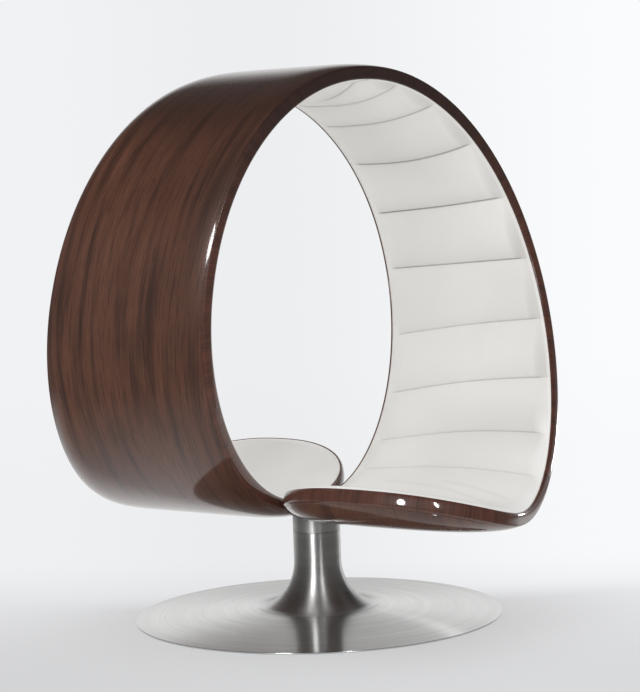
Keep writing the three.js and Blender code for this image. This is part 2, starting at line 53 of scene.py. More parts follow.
# The rim's outer corner, seen along Y
TOP_HEIGHT = 1.5
ARCH_HALF_SPAN = 0.617
WIDEST_HEIGHT = 0.910
UPPER_POWER = 2.095
LOWER_POWER = 1.93
LOW_X, LOW_HEIGHT = 0.034, 0.294
SEAT_RISE, SEAT_BEND = 0.408, 0.276
SEAT_FRONT_X = -0.415
RIM_SMOOTHING = 0.014
LINE_POINTS = 600
BELL_REACH = 4

# The ribbon's width along Y and how far its middle moves aside on the way down
TOP_HALF_WIDTH, SEAT_HALF_WIDTH = 0.233, 0.364
WIDTH_EASE = (-0.103, 0.52)
SIDE_SHIFT = 0.408
SHIFT_EASE = (0.095, 0.725)
NOSE_LENGTH = 0.369
NOSE_POWER = 2.14

# Layers. The top of each half starts a hair beyond the joint between them
TOP_JOINT = 0.0002
RIM_THICKNESS = 0.0325
SHELL_THICKNESS = 0.012
SHELL_INSET = 0.0055
COVER_UNDERSIDE = -0.0265
CROWN_TOP, CROWN_BODY, CROWN_NOSE = 0.010, 0.020, 0.050
CROWN_BODY_END = 1.3
CROWN_NOSE_RUN = 0.375
CROWN_POWER = 7.7
# Each seam: its distance down the ribbon on the middle, its lean, its bow, and how firmly it is drawn in
SEAMS = ((0.185, 0.174, -0.075, 0.60), (0.265, 0.070, -0.067, 0.95), (0.391, 0.047, -0.037, 1.00),
         (0.566, 0.034, -0.026, 1.00), (0.736, 0.023, -0.004, 1.00), (0.919, 0.016, 0.000, 0.75),
         (1.111, 0.030, 0.007, 0.45), (1.295, 0.036, 0.014, 0.50), (1.476, 0.032, 0.025, 0.40),
         (1.632, 0.006, 0.031, 0.30))


# The ribbon's line
def ease(t, handles):
    """A curve from 0 to 1 with its two handles' heights."""
    first, second = handles
    return 3 * (1 - t) ** 2 * t * first + 3 * (1 - t) * t ** 2 * second + t ** 3


def soft_step(t):
    """0 up to 0, 1 from 1 on, and an S between."""
    held = np.clip(t, 0, 1)
    return held * held * (3 - 2 * held)


def ramp(value, start, end):
    """0 before the start, 1 past the end, and an S between."""
    return soft_step((value - start) / (end - start))


def along_run(value, rising, full, falling, end):
    """1 along a run, and soft at both its ends."""
    return ramp(value, rising, full) * (1 - ramp(value, falling, end))


def quarter_arc(angles, across, up, power):
    """A quarter of an oval; a power of 2 gives an ellipse, and more makes it squarer."""
    c, s = np.abs(np.cos(angles)), np.abs(np.sin(angles))
    reach = (c ** power + s ** power) ** (-1 / power)
    return across * c * reach, up * s * reach


def rim_line(step=0.001):
    """The rim's outer corner from the ring's top to the seat's front, a millimetre a step, made fair."""
    angles = np.linspace(0, math.pi / 2, LINE_POINTS)
    x_up, z_up = quarter_arc(angles[::-1], ARCH_HALF_SPAN, TOP_HEIGHT - WIDEST_HEIGHT, UPPER_POWER)
    x_low, z_low = quarter_arc(angles, ARCH_HALF_SPAN - LOW_X, WIDEST_HEIGHT - LOW_HEIGHT, LOWER_POWER)
    run = np.linspace(0, LOW_X - SEAT_FRONT_X, LINE_POINTS)
    x = np.concatenate([x_up[:-1], LOW_X + x_low[:-1], LOW_X - run])
    z = np.concatenate([WIDEST_HEIGHT + z_up[:-1], WIDEST_HEIGHT - z_low[:-1],
                        LOW_HEIGHT + SEAT_RISE * (np.hypot(run, SEAT_BEND) - SEAT_BEND)])
    along = np.concatenate([[0], np.cumsum(np.hypot(np.diff(x), np.diff(z)))])
    even = np.arange(0, along[-1] + step, step)
    x, z = np.interp(even, along, x), np.interp(even, along, z)
    reach = int(BELL_REACH * RIM_SMOOTHING / step)
    bell = np.exp(-0.5 * (np.arange(-reach, reach + 1) * step / RIM_SMOOTHING) ** 2)
    bell /= bell.sum()
    beyond = np.arange(1, reach + 1)
    x_long = np.concatenate([-x[reach:0:-1], x, x[-1] + (x[-1] - x[-2]) * beyond])
    z_long = np.concatenate([z[reach:0:-1], z, z[-1] + (z[-1] - z[-2]) * beyond])
    x, z = np.convolve(x_long, bell, "valid"), np.convolve(z_long, bell, "valid")
    return even, x, z, along[-1]


DISTANCES, RIM_X, RIM_Z, RIBBON_LENGTH = rim_line()
SLOPE_X, SLOPE_Z = np.gradient(RIM_X, DISTANCES), np.gradient(RIM_Z, DISTANCES)
SLOPE_X[0], SLOPE_Z[0] = 1, 0
NOSE_START = RIBBON_LENGTH - NOSE_LENGTH


def middle(s):
    """Where the ribbon's middle lies across."""
    return -SIDE_SHIFT * ease(s / RIBBON_LENGTH, SHIFT_EASE)


def half_width(s):
    return TOP_HALF_WIDTH + (SEAT_HALF_WIDTH - TOP_HALF_WIDTH) * ease(s / RIBBON_LENGTH, WIDTH_EASE)


def on_ribbon(s, y, depth):
    """Points at a distance s along the rim's line, a place y across and a depth out of the ring."""
    s, y, depth = np.broadcast_arrays(s, y, depth)
    x, z = np.interp(s, DISTANCES, RIM_X), np.interp(s, DISTANCES, RIM_Z)
    along_x, along_z = np.interp(s, DISTANCES, SLOPE_X), np.interp(s, DISTANCES, SLOPE_Z)
    size = np.hypot(along_x, along_z)
    return np.stack([x - along_z / size * depth, y, z + along_x / size * depth], axis=-1)


def crown_depth(s):
    """How far the shell's middle bulges outward."""
    return (CROWN_TOP + (CROWN_BODY - CROWN_TOP) * soft_step(s / CROWN_BODY_END)
            + (CROWN_NOSE - CROWN_BODY) * soft_step((s - RIBBON_LENGTH + CROWN_NOSE_RUN) / CROWN_NOSE_RUN))


def level(s, y):
    """0 on the ribbon's middle, 1 on its edge, also round the nose."""
    across = np.abs(y - middle(s)) / half_width(s)
    along = np.maximum(s - NOSE_START, 0) / NOSE_LENGTH
    return np.minimum((across ** NOSE_POWER + along ** NOSE_POWER) ** (1 / NOSE_POWER), 1)


def crown(s, y):
    return crown_depth(s) * (1 - level(s, y) ** CROWN_POWER)


def row_places(body_rows, nose_rows, inset=0.0):
    """Distances of rows down the ribbon, and the share of the width that the nose leaves at each."""
    angle = np.linspace(0, math.pi / 2, nose_rows + 1)
    share = np.sin(angle) ** (2 / NOSE_POWER)
    distances = np.concatenate([body_rows, NOSE_START + (NOSE_LENGTH - inset) * share])
    closing = np.concatenate([np.ones(len(body_rows)), np.cos(angle) ** (2 / NOSE_POWER)])
    closing[-1] = 0
    return distances, closing


# Making pieces
WELD = 2e-6


def laid_grid(name, points, ruling):
    """A grid primitive whose rows are laid on the given points; the ruling is its map, in metres."""
    rows, columns = points.shape[:2]
    bpy.ops.mesh.primitive_grid_add(x_subdivisions=columns - 1, y_subdivisions=rows - 1, size=2)
    piece = bpy.context.object
    piece.name = piece.data.name = name
    mesh = piece.data
    flat = np.empty(len(mesh.vertices) * 3)
    mesh.vertices.foreach_get("co", flat)
    flat = flat.reshape(-1, 3)
    column = np.rint((flat[:, 0] + 1) / 2 * (columns - 1)).astype(int)
    row = np.rint((flat[:, 1] + 1) / 2 * (rows - 1)).astype(int)
    mesh.vertices.foreach_set("co", points[row, column].ravel())
    corners = np.empty(len(mesh.loops), int)
    mesh.loops.foreach_get("vertex_index", corners)
    mesh.uv_layers.active.data.foreach_set("uv", ruling[row, column][corners].ravel())
    mesh.update()
    return piece


def edit(piece, *steps):
    """Runs edit-mode steps on one piece, all of it selected before each."""
    bpy.context.view_layer.objects.active = piece
    bpy.ops.object.mode_set(mode="EDIT")
    for step, options in steps:
        bpy.ops.mesh.select_all(action="SELECT")
        step(**options)
    bpy.ops.object.mode_set(mode="OBJECT")


def weld(piece):
    edit(piece, (bpy.ops.mesh.remove_doubles, {"threshold": WELD}),
         (bpy.ops.mesh.dissolve_degenerate, {"threshold": WELD / 2}),
         (bpy.ops.mesh.fill_holes, {"sides": 0}),
         (bpy.ops.mesh.normals_make_consistent, {"inside": False}))


def modify(piece, kind, **settings):
    bpy.context.view_layer.objects.active = piece
    modifier = piece.modifiers.new(kind.title(), kind)
    for key, value in settings.items():
        setattr(modifier, key, value)
    bpy.ops.object.modifier_apply(modifier=modifier.name)


def smooth(piece, degrees):
    bpy.ops.object.select_all(action="DESELECT")
    piece.select_set(True)
    bpy.context.view_layer.objects.active = piece
    bpy.ops.object.shade_smooth_by_angle(angle=math.radians(degrees))
    piece.select_set(False)


def finish_piece(piece, material, body, slot, *nodes):
    piece.data.materials.clear()
    piece.data.materials.append(material)
    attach(piece, body)
    if nodes:
        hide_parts(*nodes)


def half_turn(piece, name):
    """The same piece on the other half: a copy with its own mesh, turned half way round the column."""
    other = piece.copy()
    other.data = piece.data.copy()
    other.name = other.data.name = name
    bpy.context.scene.collection.objects.link(other)
    other.data.transform(Matrix.Rotation(math.pi, 4, "Z"))
    return other


def turned(name, outline, steps):
    """A closed outline of (radius, height) points spun about the column's axis."""
    bpy.ops.mesh.primitive_circle_add(vertices=len(outline), fill_type="NOTHING")
    piece = bpy.context.object
    piece.name = piece.data.name = name
    for vertex, (radius, height) in zip(piece.data.vertices, outline):
        vertex.co = (radius, 0, height)
    edit(piece, (bpy.ops.mesh.spin, {"steps": steps, "angle": 2 * math.pi, "center": (0, 0, 0),
                                     "axis": (0, 0, 1)}),
         (bpy.ops.mesh.remove_doubles, {"threshold": WELD}),
         (bpy.ops.mesh.normals_make_consistent, {"inside": False}))
    return piece


def rounded(corners, radius, steps=4, most=0.45):
    """A closed outline with its corners rounded, by no more than a share of the sides beside them."""
    points = []
    for i, corner in enumerate(corners):
        here = np.array(corner)
        before = np.array(corners[i - 1]) - here
        after = np.array(corners[(i + 1) % len(corners)]) - here
        reach = min(radius, np.linalg.norm(before) * most, np.linalg.norm(after) * most)
        start = here + before / np.linalg.norm(before) * reach
        end = here + after / np.linalg.norm(after) * reach
        for t in np.linspace(0, 1, steps + 1):
            points.append(tuple((1 - t) ** 2 * start + 2 * t * (1 - t) * here + t * t * end))
    return points


# Shader nodes
def place(tree, kind, inputs=(), **settings):
    """A node with its settings; an input given a socket is linked, and one given a value is set."""
    made = tree.nodes.new("ShaderNode" + kind)
    for key, value in settings.items():
        setattr(made, key, value)
    return wire(tree, made, inputs)


def wire(tree, made, inputs):
    """Links the inputs that are given a socket and sets the others."""
    for key, value in dict(inputs).items():
        if isinstance(value, bpy.types.NodeSocket):
            tree.links.new(value, made.inputs[key])
        else:
            made.inputs[key].default_value = value
    return made


def maths(tree, operation, first, second=0.0):
    return place(tree, "Math", {0: first, 1: second}, operation=operation).outputs[0]


def times(tree, first, second):
    return maths(tree, "MULTIPLY", first, second)


def plus(tree, first, second):
    return maths(tree, "ADD", first, second)


def minus(tree, first, second):
    return maths(tree, "SUBTRACT", first, second)


def axes(tree, vector):
    """A vector's three parts."""
    return place(tree, "SeparateXYZ", {0: vector}).outputs


def point(tree, x, y, z=0.0):
    return place(tree, "CombineXYZ", {0: x, 1: y, 2: z}).outputs[0]


def from_axis(tree, parts):
    """How far a place, given by its parts, lies from the column's axis."""
    return maths(tree, "SQRT", plus(tree, times(tree, parts[0], parts[0]), times(tree, parts[1], parts[1])))


def blend_colours(tree, factor, first, second):
    return place(tree, "Mix", {0: factor, 6: first, 7: second}, data_type="RGBA").outputs[2]


def spread(tree, value, low, high, to_low=0.0, to_high=1.0):
    """A value spread from one range to another, smoothly."""
    return place(tree, "MapRange", {0: value, 1: low, 2: high, 3: to_low, 4: to_high},
                 interpolation_type="SMOOTHSTEP").outputs[0]


def noise(tree, vector, scale, detail=2.0):
    return place(tree, "TexNoise", {"Vector": vector, "Scale": scale, "Detail": detail}).outputs["Fac"]


def new_group(name, inputs, outputs):
    tree = bpy.data.node_groups.new(name, "ShaderNodeTree")
    for label, kind, value in inputs:
        socket = tree.interface.new_socket(label, in_out="INPUT", socket_type="NodeSocket" + kind)
        if value is not None:
            socket.default_value = value
    for label, kind in outputs:
        tree.interface.new_socket(label, in_out="OUTPUT", socket_type="NodeSocket" + kind)
    return tree, tree.nodes.new("NodeGroupInput").outputs, tree.nodes.new("NodeGroupOutput")


def use_group(tree, group, inputs):
    made = tree.nodes.new("ShaderNodeGroup")
    made.node_tree = group
    return wire(tree, made, inputs).outputs


def feed(tree, made, **values):
    """Links values to a node's inputs, named with _ for a space."""
    for key, value in values.items():
        tree.links.new(value, made.inputs[key.replace("_", " ")])


def wood_figure_group():
    """Veneer figure on a map whose first axis runs with the grain: broad streaks, lines and pores."""
    tree, given, out = new_group(
        "wood_figure",
        [("Map", "Vector", None), ("Wander", "Float", 0.014), ("Broad", "Float", 36.0),
         ("Lines", "Float", 220.0), ("Pores", "Float", 900.0)],
        [("Streaks", "Float"), ("Lines", "Float"), ("Pores", "Float")])
    parts = axes(tree, given["Map"])
    slow_along, slow_across = 1.6, 5.0
    slow = point(tree, times(tree, parts[0], slow_along), times(tree, parts[1], slow_across))
    wander = times(tree, minus(tree, noise(tree, slow, 1.0), 0.5), given["Wander"])
    across = plus(tree, parts[1], wander)

    def lines(waves_along, waves_across, detail, pattern):
        stretched = point(tree, times(tree, parts[0], waves_along), times(tree, across, waves_across),
                          pattern)
        return noise(tree, stretched, 1.0, detail)

    feed(tree, out,
         Streaks=lines(waves_along=2.4, waves_across=given["Broad"], detail=3.5, pattern=0.0),
         Lines=lines(waves_along=8.0, waves_across=given["Lines"], detail=3.0, pattern=7.0),
         Pores=lines(waves_along=38.0, waves_across=given["Pores"], detail=1.0, pattern=13.0))
    return tree


def brush_lines_group():
    """Fine rings left by brushing a turned part, which change a little on the way round."""
    waves_round = 1.5
    tree, given, out = new_group(
        "brush_lines",
        [("Object", "Vector", None), ("Fineness", "Float", 900.0), ("Broadness", "Float", 0.045)],
        [("Lines", "Float"), ("Bands", "Float")])
    parts = axes(tree, given["Object"])
    angle = maths(tree, "ARCTAN2", parts[1], parts[0])
    ring = point(tree, times(tree, from_axis(tree, parts), given["Fineness"]),
                 times(tree, parts[2], given["Fineness"]), times(tree, angle, waves_round))
    feed(tree, out, Lines=noise(tree, ring, 1.0), Bands=noise(tree, ring, given["Broadness"], 3.0))
    return tree


def handling_group(specks_per_cloud=40.0):
    """Slow soft unevenness in a finish, and finer specks."""
    tree, given, out = new_group(
        "handling", [("Object", "Vector", None), ("Size", "Float", 6.0)],
        [("Cloud", "Float"), ("Speck", "Float")])
    fine = times(tree, given["Size"], specks_per_cloud)
    feed(tree, out, Cloud=noise(tree, given["Object"], given["Size"], 3.0),
         Speck=noise(tree, given["Object"], fine))
    return tree


WOOD_FIGURE, BRUSH_LINES, HANDLING = wood_figure_group(), brush_lines_group(), handling_group()


# Materials
def new_material(name, **plain):
    """A material with its shader's plain numbers set; gives its tree, shader and coordinates too."""
    material = bpy.data.materials.new(name)
    material.use_nodes = True
    tree = material.node_tree
    shader = tree.nodes["Principled BSDF"]
    for key, value in plain.items():
        shader.inputs[key.replace("_", " ")].default_value = value
    return material, tree, shader, place(tree, "TexCoord").outputs


def bump(tree, shader, height, strength, distance):
    made = place(tree, "Bump", {"Height": height, "Strength": strength, "Distance": distance})
    feed(tree, shader, Normal=made.outputs[0])


def colour(red, green, blue):
    """A colour as it is seen, from 0 to 255, as the shader takes it."""
    return tuple(((v / 255 + 0.055) / 1.055) ** 2.4 if v > 10 else v / 255 / 12.92
                 for v in (red, green, blue)) + (1.0,)


def painted_shade_above(tree, position, tone, height, most):
    """The wood's tone with painted shade, which deepens from a height up to near the top of the ring."""
    top_shade_tone, near_top = colour(36, 23, 20), 1.47
    up = axes(tree, position)[2]
    return blend_colours(tree, spread(tree, up, height, near_top, 0.0, most), tone, top_shade_tone)


LACQUERED = {"Roughness": 0.5, "Specular_IOR_Level": 0.25, "Coat_Weight": 1.0, "Coat_IOR": 1.5}


def veneer_material():
    """Dark brown veneer with fine broken streaks, under gloss lacquer."""
    dark, light = colour(60, 36, 27), colour(95, 59, 43)
    dark_line, red_line = colour(46, 28, 22), colour(108, 66, 45)
    pore, cloudy = colour(44, 27, 21), colour(58, 34, 26)
    material, tree, shader, given = new_material("veneer", Coat_Roughness=0.09, **LACQUERED)
    figure = use_group(tree, WOOD_FIGURE, {"Map": given["UV"]})
    cloud = use_group(tree, HANDLING, {"Object": given["Object"], "Size": 3.0})["Cloud"]
    tone = blend_colours(tree, spread(tree, figure["Streaks"], 0.28, 0.58), dark, light)
    tone = blend_colours(tree, spread(tree, figure["Lines"], 0.30, 0.50, 0.7, 0.0), tone, dark_line)
    tone = blend_colours(tree, spread(tree, figure["Lines"], 0.54, 0.72, 0.0, 0.4), tone, red_line)
    tone = blend_colours(tree, spread(tree, figure["Pores"], 0.56, 0.72, 0.0, 0.55), tone, pore)
    tone = blend_colours(tree, spread(tree, cloud, 0.35, 0.65, 0.0, 0.4), tone, cloudy)
    # Painted shade darkens the veneer toward the top of the ring
    feed(tree, shader, Base_Color=painted_shade_above(tree, given["Object"], tone, height=1.25, most=0.6),
         Roughness=spread(tree, figure["Pores"], 0.3, 0.8, 0.46, 0.56))
    bump(tree, shader, figure["Pores"], strength=0.02, distance=0.0002)
    return material


def band_material():
    """The rim's band: the same wood with its grain running across the edge, a little redder."""
    dark, light = colour(62, 36, 28), colour(88, 50, 38)
    red_line, pore = colour(106, 62, 46), colour(50, 30, 24)
    material, tree, shader, given = new_material("rim_band", Coat_Roughness=0.07, **LACQUERED)
    parts = axes(tree, given["UV"])
    figure = use_group(tree, WOOD_FIGURE, {"Map": point(tree, parts[1], parts[0]), "Wander": 0.004,
                                           "Broad": 30.0, "Lines": 210.0, "Pores": 1000.0})
    tone = blend_colours(tree, spread(tree, figure["Streaks"], 0.3, 0.7), dark, light)
    tone = blend_colours(tree, spread(tree, figure["Lines"], 0.4, 0.68, 0.0, 0.5), tone, red_line)
    tone = blend_colours(tree, spread(tree, figure["Pores"], 0.58, 0.72, 0.0, 0.4), tone, pore)
    # Painted shade darkens the band toward the top of the ring
    feed(tree, shader, Base_Color=painted_shade_above(tree, given["Object"], tone, height=0.95, most=0.8))
    bump(tree, shader, figure["Pores"], strength=0.02, distance=0.0002)
    return material


def leather_material(name="leather", tint=(1.0, 1.0, 1.0)):
    """Off-white leather: fine pebble grain with painted shade in its grooves, hardly any unevenness, and
    painted shade at seams, creases and shaded zones, as the cover's attribute gives it.
    """
    pale = tuple(v * t for v, t in zip(colour(239, 238, 236), tint)) + (1.0,)
    warm = tuple(v * t for v, t in zip(colour(236, 234, 231), tint)) + (1.0,)
    pebble_groove_shade, painted_shade_tone = colour(196, 192, 186), colour(150, 146, 138)
    pebbles_per_metre, most_painted_shade = 620.0, 0.6
    material, tree, shader, given = new_material(name, Roughness=0.55, Specular_IOR_Level=0.35)
    cloud = use_group(tree, HANDLING, {"Object": given["Object"], "Size": 4.0})
    pebbles = place(tree, "TexVoronoi", {"Vector": given["Object"], "Scale": pebbles_per_metre},
                    feature="SMOOTH_F1").outputs["Distance"]
    # The cover's attribute gives how much painted shade darkens the leather toward a grey
    fold_and_shade = place(tree, "Attribute", attribute_name="fold_and_shade").outputs["Fac"]
    tone = blend_colours(tree, spread(tree, cloud["Cloud"], 0.3, 0.7), warm, pale)
    # The grooves between pebbles are painted a little darker, as painted shade
    tone = blend_colours(tree, spread(tree, pebbles, 0.45, 0.85, 0.0, 0.12), tone, pebble_groove_shade)
    tone = blend_colours(tree, times(tree, fold_and_shade, most_painted_shade), tone, painted_shade_tone)
    feed(tree, shader, Base_Color=tone, Roughness=spread(tree, cloud["Speck"], 0.2, 0.8, 0.5, 0.6))
    wrinkles = noise(tree, given["Object"], 240.0, 3.0)
    bump(tree, shader, minus(tree, times(tree, wrinkles, 0.6), pebbles), strength=0.18, distance=0.0004)
    return material


def brushed_material(name, roughness, wide_roughness, **plain):
    """Stainless steel brushed round the axis; its roughness may differ out on the wide foot, whose tone is
    painted brighter as painted light.
    """
    dull_band, bright_band, line = colour(200, 200, 199), colour(212, 212, 211), colour(176, 176, 175)
    # The wide foot's tones are lighter than the column's: painted light
    painted_light_foot_dull, painted_light_foot_bright = colour(216, 216, 215), colour(223, 223, 222)
    narrow_radius, wide_radius = 0.12, 0.20
    material, tree, shader, given = new_material(name, Metallic=1.0, **plain)
    brushing = use_group(tree, BRUSH_LINES, {"Object": given["Object"]})
    wide = spread(tree, from_axis(tree, axes(tree, given["Object"])), narrow_radius, wide_radius)
    column = blend_colours(tree, spread(tree, brushing["Bands"], 0.3, 0.7), dull_band, bright_band)
    foot = blend_colours(tree, spread(tree, brushing["Bands"], 0.36, 0.64), painted_light_foot_dull, painted_light_foot_bright)
    tone = blend_colours(tree, wide, column, foot)
    finish = plus(tree, roughness, times(tree, wide, wide_roughness - roughness))
    feed(tree, shader,
         Base_Color=blend_colours(tree, spread(tree, brushing["Lines"], 0.3, 0.75, 0.0, 0.25), tone, line),
         Roughness=plus(tree, finish, spread(tree, brushing["Lines"], 0.2, 0.8, -0.03, 0.04)),
         Tangent=place(tree, "Tangent", direction_type="RADIAL", axis="Z").outputs[0])
    bump(tree, shader, brushing["Lines"], strength=0.03, distance=0.0001)
    return material


def hardware_material(name, base, worn, roughness, metallic, size=30.0):
    """Small inner metal or rubber parts: an even finish with slow clouds and fine specks."""
    smoother, rougher = 0.06, 0.08
    material, tree, shader, given = new_material(name, Metallic=metallic)
    marks = use_group(tree, HANDLING, {"Object": given["Object"], "Size": size})
    feed(tree, shader,
         Base_Color=blend_colours(tree, spread(tree, marks["Cloud"], 0.35, 0.7), base, worn),
         Roughness=spread(tree, marks["Speck"], 0.2, 0.8, roughness - smoother, roughness + rougher))
    bump(tree, shader, marks["Speck"], strength=0.1, distance=0.0002)
    return material


def foam_material():
    """Moulded foam: open cells in a pale yellow, their hollows darkened by painted shade."""
    dull, bright, painted_cell_shade = colour(228, 210, 158), colour(240, 226, 182), colour(186, 165, 112)
    cells_per_metre = 420.0
    material, tree, shader, given = new_material("foam", Roughness=0.95)
    cells = place(tree, "TexVoronoi", {"Vector": given["Object"],
                                       "Scale": cells_per_metre}).outputs["Distance"]
    cloud = use_group(tree, HANDLING, {"Object": given["Object"], "Size": 8.0})["Cloud"]
    tone = blend_colours(tree, spread(tree, cloud, 0.3, 0.7), dull, bright)
    # The cells' hollows are painted darker, as painted shade
    feed(tree, shader, Base_Color=blend_colours(tree, spread(tree, cells, 0.1, 0.5, 0.5, 0.0), tone, painted_cell_shade))
    bump(tree, shader, cells, strength=0.4, distance=0.001)
    return material


def raw_wood_material():
    """Unfinished pale wood of the inner joint, its grain along the ring."""
    dark, light, pore = colour(196, 158, 112), colour(221, 190, 147), colour(150, 112, 74)
    material, tree, shader, given = new_material("raw_wood", Roughness=0.75)
    figure = use_group(tree, WOOD_FIGURE, {"Map": given["Object"], "Wander": 0.01, "Broad": 60.0,
                                           "Lines": 300.0, "Pores": 1600.0})
    tone = blend_colours(tree, spread(tree, figure["Streaks"], 0.3, 0.7), dark, light)
    feed(tree, shader,
         Base_Color=blend_colours(tree, spread(tree, figure["Pores"], 0.55, 0.75, 0.0, 0.5), tone, pore))
    bump(tree, shader, figure["Lines"], strength=0.15, distance=0.0003)
    return material


VENEER, BAND, LEATHER = veneer_material(), band_material(), leather_material()
PIPING = leather_material("piping", tint=(1.0, 0.955, 0.925))
BRUSHED = brushed_material("brushed_steel", 0.42, 0.20, Anisotropic=0.9, Anisotropic_Rotation=0.25)
COLLAR_STEEL = brushed_material("satin_steel", 0.46, 0.46, Anisotropic=0.75, Anisotropic_Rotation=0.25)
FOAM, RAW_WOOD = foam_material(), raw_wood_material()
BLACK_STEEL = hardware_material("black_steel", colour(52, 54, 57), colour(70, 72, 75), 0.45, 0.6)
ZINC = hardware_material("zinc_steel", colour(190, 193, 196), colour(164, 168, 172), 0.32, 1.0)
BRONZE = hardware_material("bronze", colour(176, 132, 74), colour(150, 108, 58), 0.4, 1.0)
RUBBER = hardware_material("rubber", colour(30, 30, 31), colour(42, 42, 43), 0.8, 0.0)


# The two wood shells
SHELL_ROW, SHELL_NOSE_ROWS, SHELL_COLUMNS = 0.0065, 56, 81


def across_places(count):
    """Shares of the half width, closer together toward the edges."""
    return np.sin(np.linspace(-math.pi / 2, math.pi / 2, count))


def span_rows(distances, closing, inset):
    """Each row's distance, middle and half width, as columns."""
    return (distances[:, None], middle(distances)[:, None],
            ((half_width(distances) - inset) * closing)[:, None])


def closed_rows(*faces):
    """Joins faces of points side by side into rows that end where they start."""
    return np.concatenate([*faces, faces[0][:, :1]], axis=1)


def ruled_map(s, y, mid):
    """A map in metres: along the ribbon, then across from its middle."""
    s, across = np.broadcast_arrays(s, y - mid)
    return np.stack([s, across], axis=-1)


def make_shells():
    distances, closing = row_places(np.arange(TOP_JOINT, NOSE_START, SHELL_ROW), SHELL_NOSE_ROWS, SHELL_INSET)
    s, mid, half = span_rows(distances, closing, SHELL_INSET)
    y = mid + half * across_places(SHELL_COLUMNS)
    outer = on_ribbon(s, y, crown(s, y))
    inner = on_ribbon(s, y, crown(s, y) - SHELL_THICKNESS)[:, ::-1]
    points = closed_rows(outer, inner)
    ruling = closed_rows(ruled_map(s, y, mid), ruled_map(s, y, mid)[:, ::-1])
    shell = laid_grid("veneered_shell_front", points, ruling)
    weld(shell)
    smooth(shell, 50)
    rear = half_turn(shell, "veneered_shell_rear")
    finish_piece(shell, VENEER, "pod", "wood_veneer", "shell_front")
    finish_piece(rear, VENEER, "pod", "wood_veneer", "shell_rear")


# The wood band round each edge

# The section that shows, as (outward, depth) from the rim's corner; the rest lies in the wall
BAND_SECTION = ((0.0000, 0.0000), (0.0018, -0.0013), (0.0030, -0.0045), (0.0036, -0.0100),
                (0.0038, -0.0160), (0.0036, -0.0220), (0.0029, -0.0275), (0.0008, -0.0325),
                (-0.0022, -0.0348), (-0.0052, -0.0336))
BAND_POINTS = 30
BAND_ROW, BAND_NOSE_ROWS = 0.008, 48
BAND_INNER, BAND_LAP, BAND_GAP = -0.014, 0.0007, 0.0004
BAND_BED_GAP, BAND_PROUD = 0.002, 0.0001
COVER_GAP = 0.0006


def fair_section(points, count):
    """A smooth curve through the section's points."""
    held = np.array(points)
    held = np.vstack([2 * held[0] - held[1], held, 2 * held[-1] - held[-2]])
    t = np.linspace(0, len(points) - 1 - 1e-9, count)
    index, share = t.astype(int) + 1, (t % 1)[:, None]
    before, here, there, after = (held[index + step] for step in (-1, 0, 1, 2))
    return 0.5 * (2 * here + (there - before) * share
                  + (2 * before - 5 * here + 4 * there - after) * share ** 2
                  + (3 * here - before - 3 * there + after) * share ** 3)


def edge_run():
    """The rim's stations: down the near edge, round the nose and back up the far edge."""
    distances, closing = row_places(np.arange(TOP_JOINT, NOSE_START, BAND_ROW), BAND_NOSE_ROWS)
    down = np.stack([distances, closing, -np.ones(len(distances))], axis=1)
    back = down[-2::-1] * (1, 1, -1)
    return np.vstack([down, back])


def edge_frame(stations):
    """The rim's corner line on the flat ribbon, and the outward direction there, in (s, y)."""
    s, closing, side = stations.T
    corner = np.stack([s, middle(s) + side * half_width(s) * closing], axis=1)
    tangent = np.gradient(corner, axis=0)
    tangent /= np.linalg.norm(tangent, axis=1)[:, None]
    outward = np.stack([tangent[:, 1], -tangent[:, 0]], axis=1)
    right = (outward[:, 1] * side >= 0) | (closing < 0.5)
    return corner, np.where(right[:, None], outward, -outward)


def swept_edge(name, section_at):
    """A closed section of (outward, depth) points carried round the rim."""
    corner, outward = edge_frame(edge_run())
    length = np.concatenate([[0], np.cumsum(np.linalg.norm(np.diff(corner, axis=0), axis=1))])
    section = section_at(corner, outward)
    flat = corner[:, None, :] + outward[:, None, :] * section[:, :, :1]
    flat[:, :, 0] = np.maximum(flat[:, :, 0], TOP_JOINT)
    points = on_ribbon(flat[:, :, 0], flat[:, :, 1], section[:, :, 1])
    sides = np.linalg.norm(np.diff(section, axis=1), axis=2)
    round_it = np.concatenate([np.zeros((len(points), 1)), np.cumsum(sides, axis=1)], axis=1)
    ruling = np.stack([np.broadcast_to(length[:, None], round_it.shape), round_it], axis=-1)
    return laid_grid(name, closed_rows(points), closed_rows(ruling))


def make_bands():
    outside = fair_section(BAND_SECTION, BAND_POINTS)

    def section_at(corner, outward):
        def flat_point(reach, depth):
            return np.tile((reach, depth), (len(corner), 1))[:, None]

        def beside_shell(reach, depth):
            at = corner + outward * reach
            return np.stack([np.full(len(at), reach), crown(at[:, 0], at[:, 1]) + depth], axis=1)[:, None]

        lap = BAND_LAP - SHELL_INSET
        return np.concatenate([
            np.repeat(outside[None], len(corner), axis=0),
            flat_point(BAND_SECTION[-1][0], COVER_UNDERSIDE + COVER_GAP),
            flat_point(BAND_INNER, COVER_UNDERSIDE + COVER_GAP),
            beside_shell(BAND_INNER, -SHELL_THICKNESS - BAND_BED_GAP),
            beside_shell(lap, -SHELL_THICKNESS - BAND_GAP),
            beside_shell(lap, BAND_PROUD)], axis=1)

    band = swept_edge("rim_band_front", section_at)
    weld(band)
    smooth(band, 40)
    rear = half_turn(band, "rim_band_rear")
    finish_piece(band, BAND, "pod", "wood_veneer", "rim_strip_front")
    finish_piece(rear, BAND, "pod", "wood_veneer", "rim_strip_rear")


# Leather covers
LEATHER_INSET = 0.0053
COVER_COLUMNS, COVER_NOSE_ROWS = 131, 64
PANEL_ROW, SEAT_ROW, FEWEST_ROWS = 0.0042, 0.0055, 24
FIRST_PANEL, FIRST_SEAM = 0.018, 0.012
CROWDED_COLUMNS, EVEN_COLUMNS = 0.55, 0.45

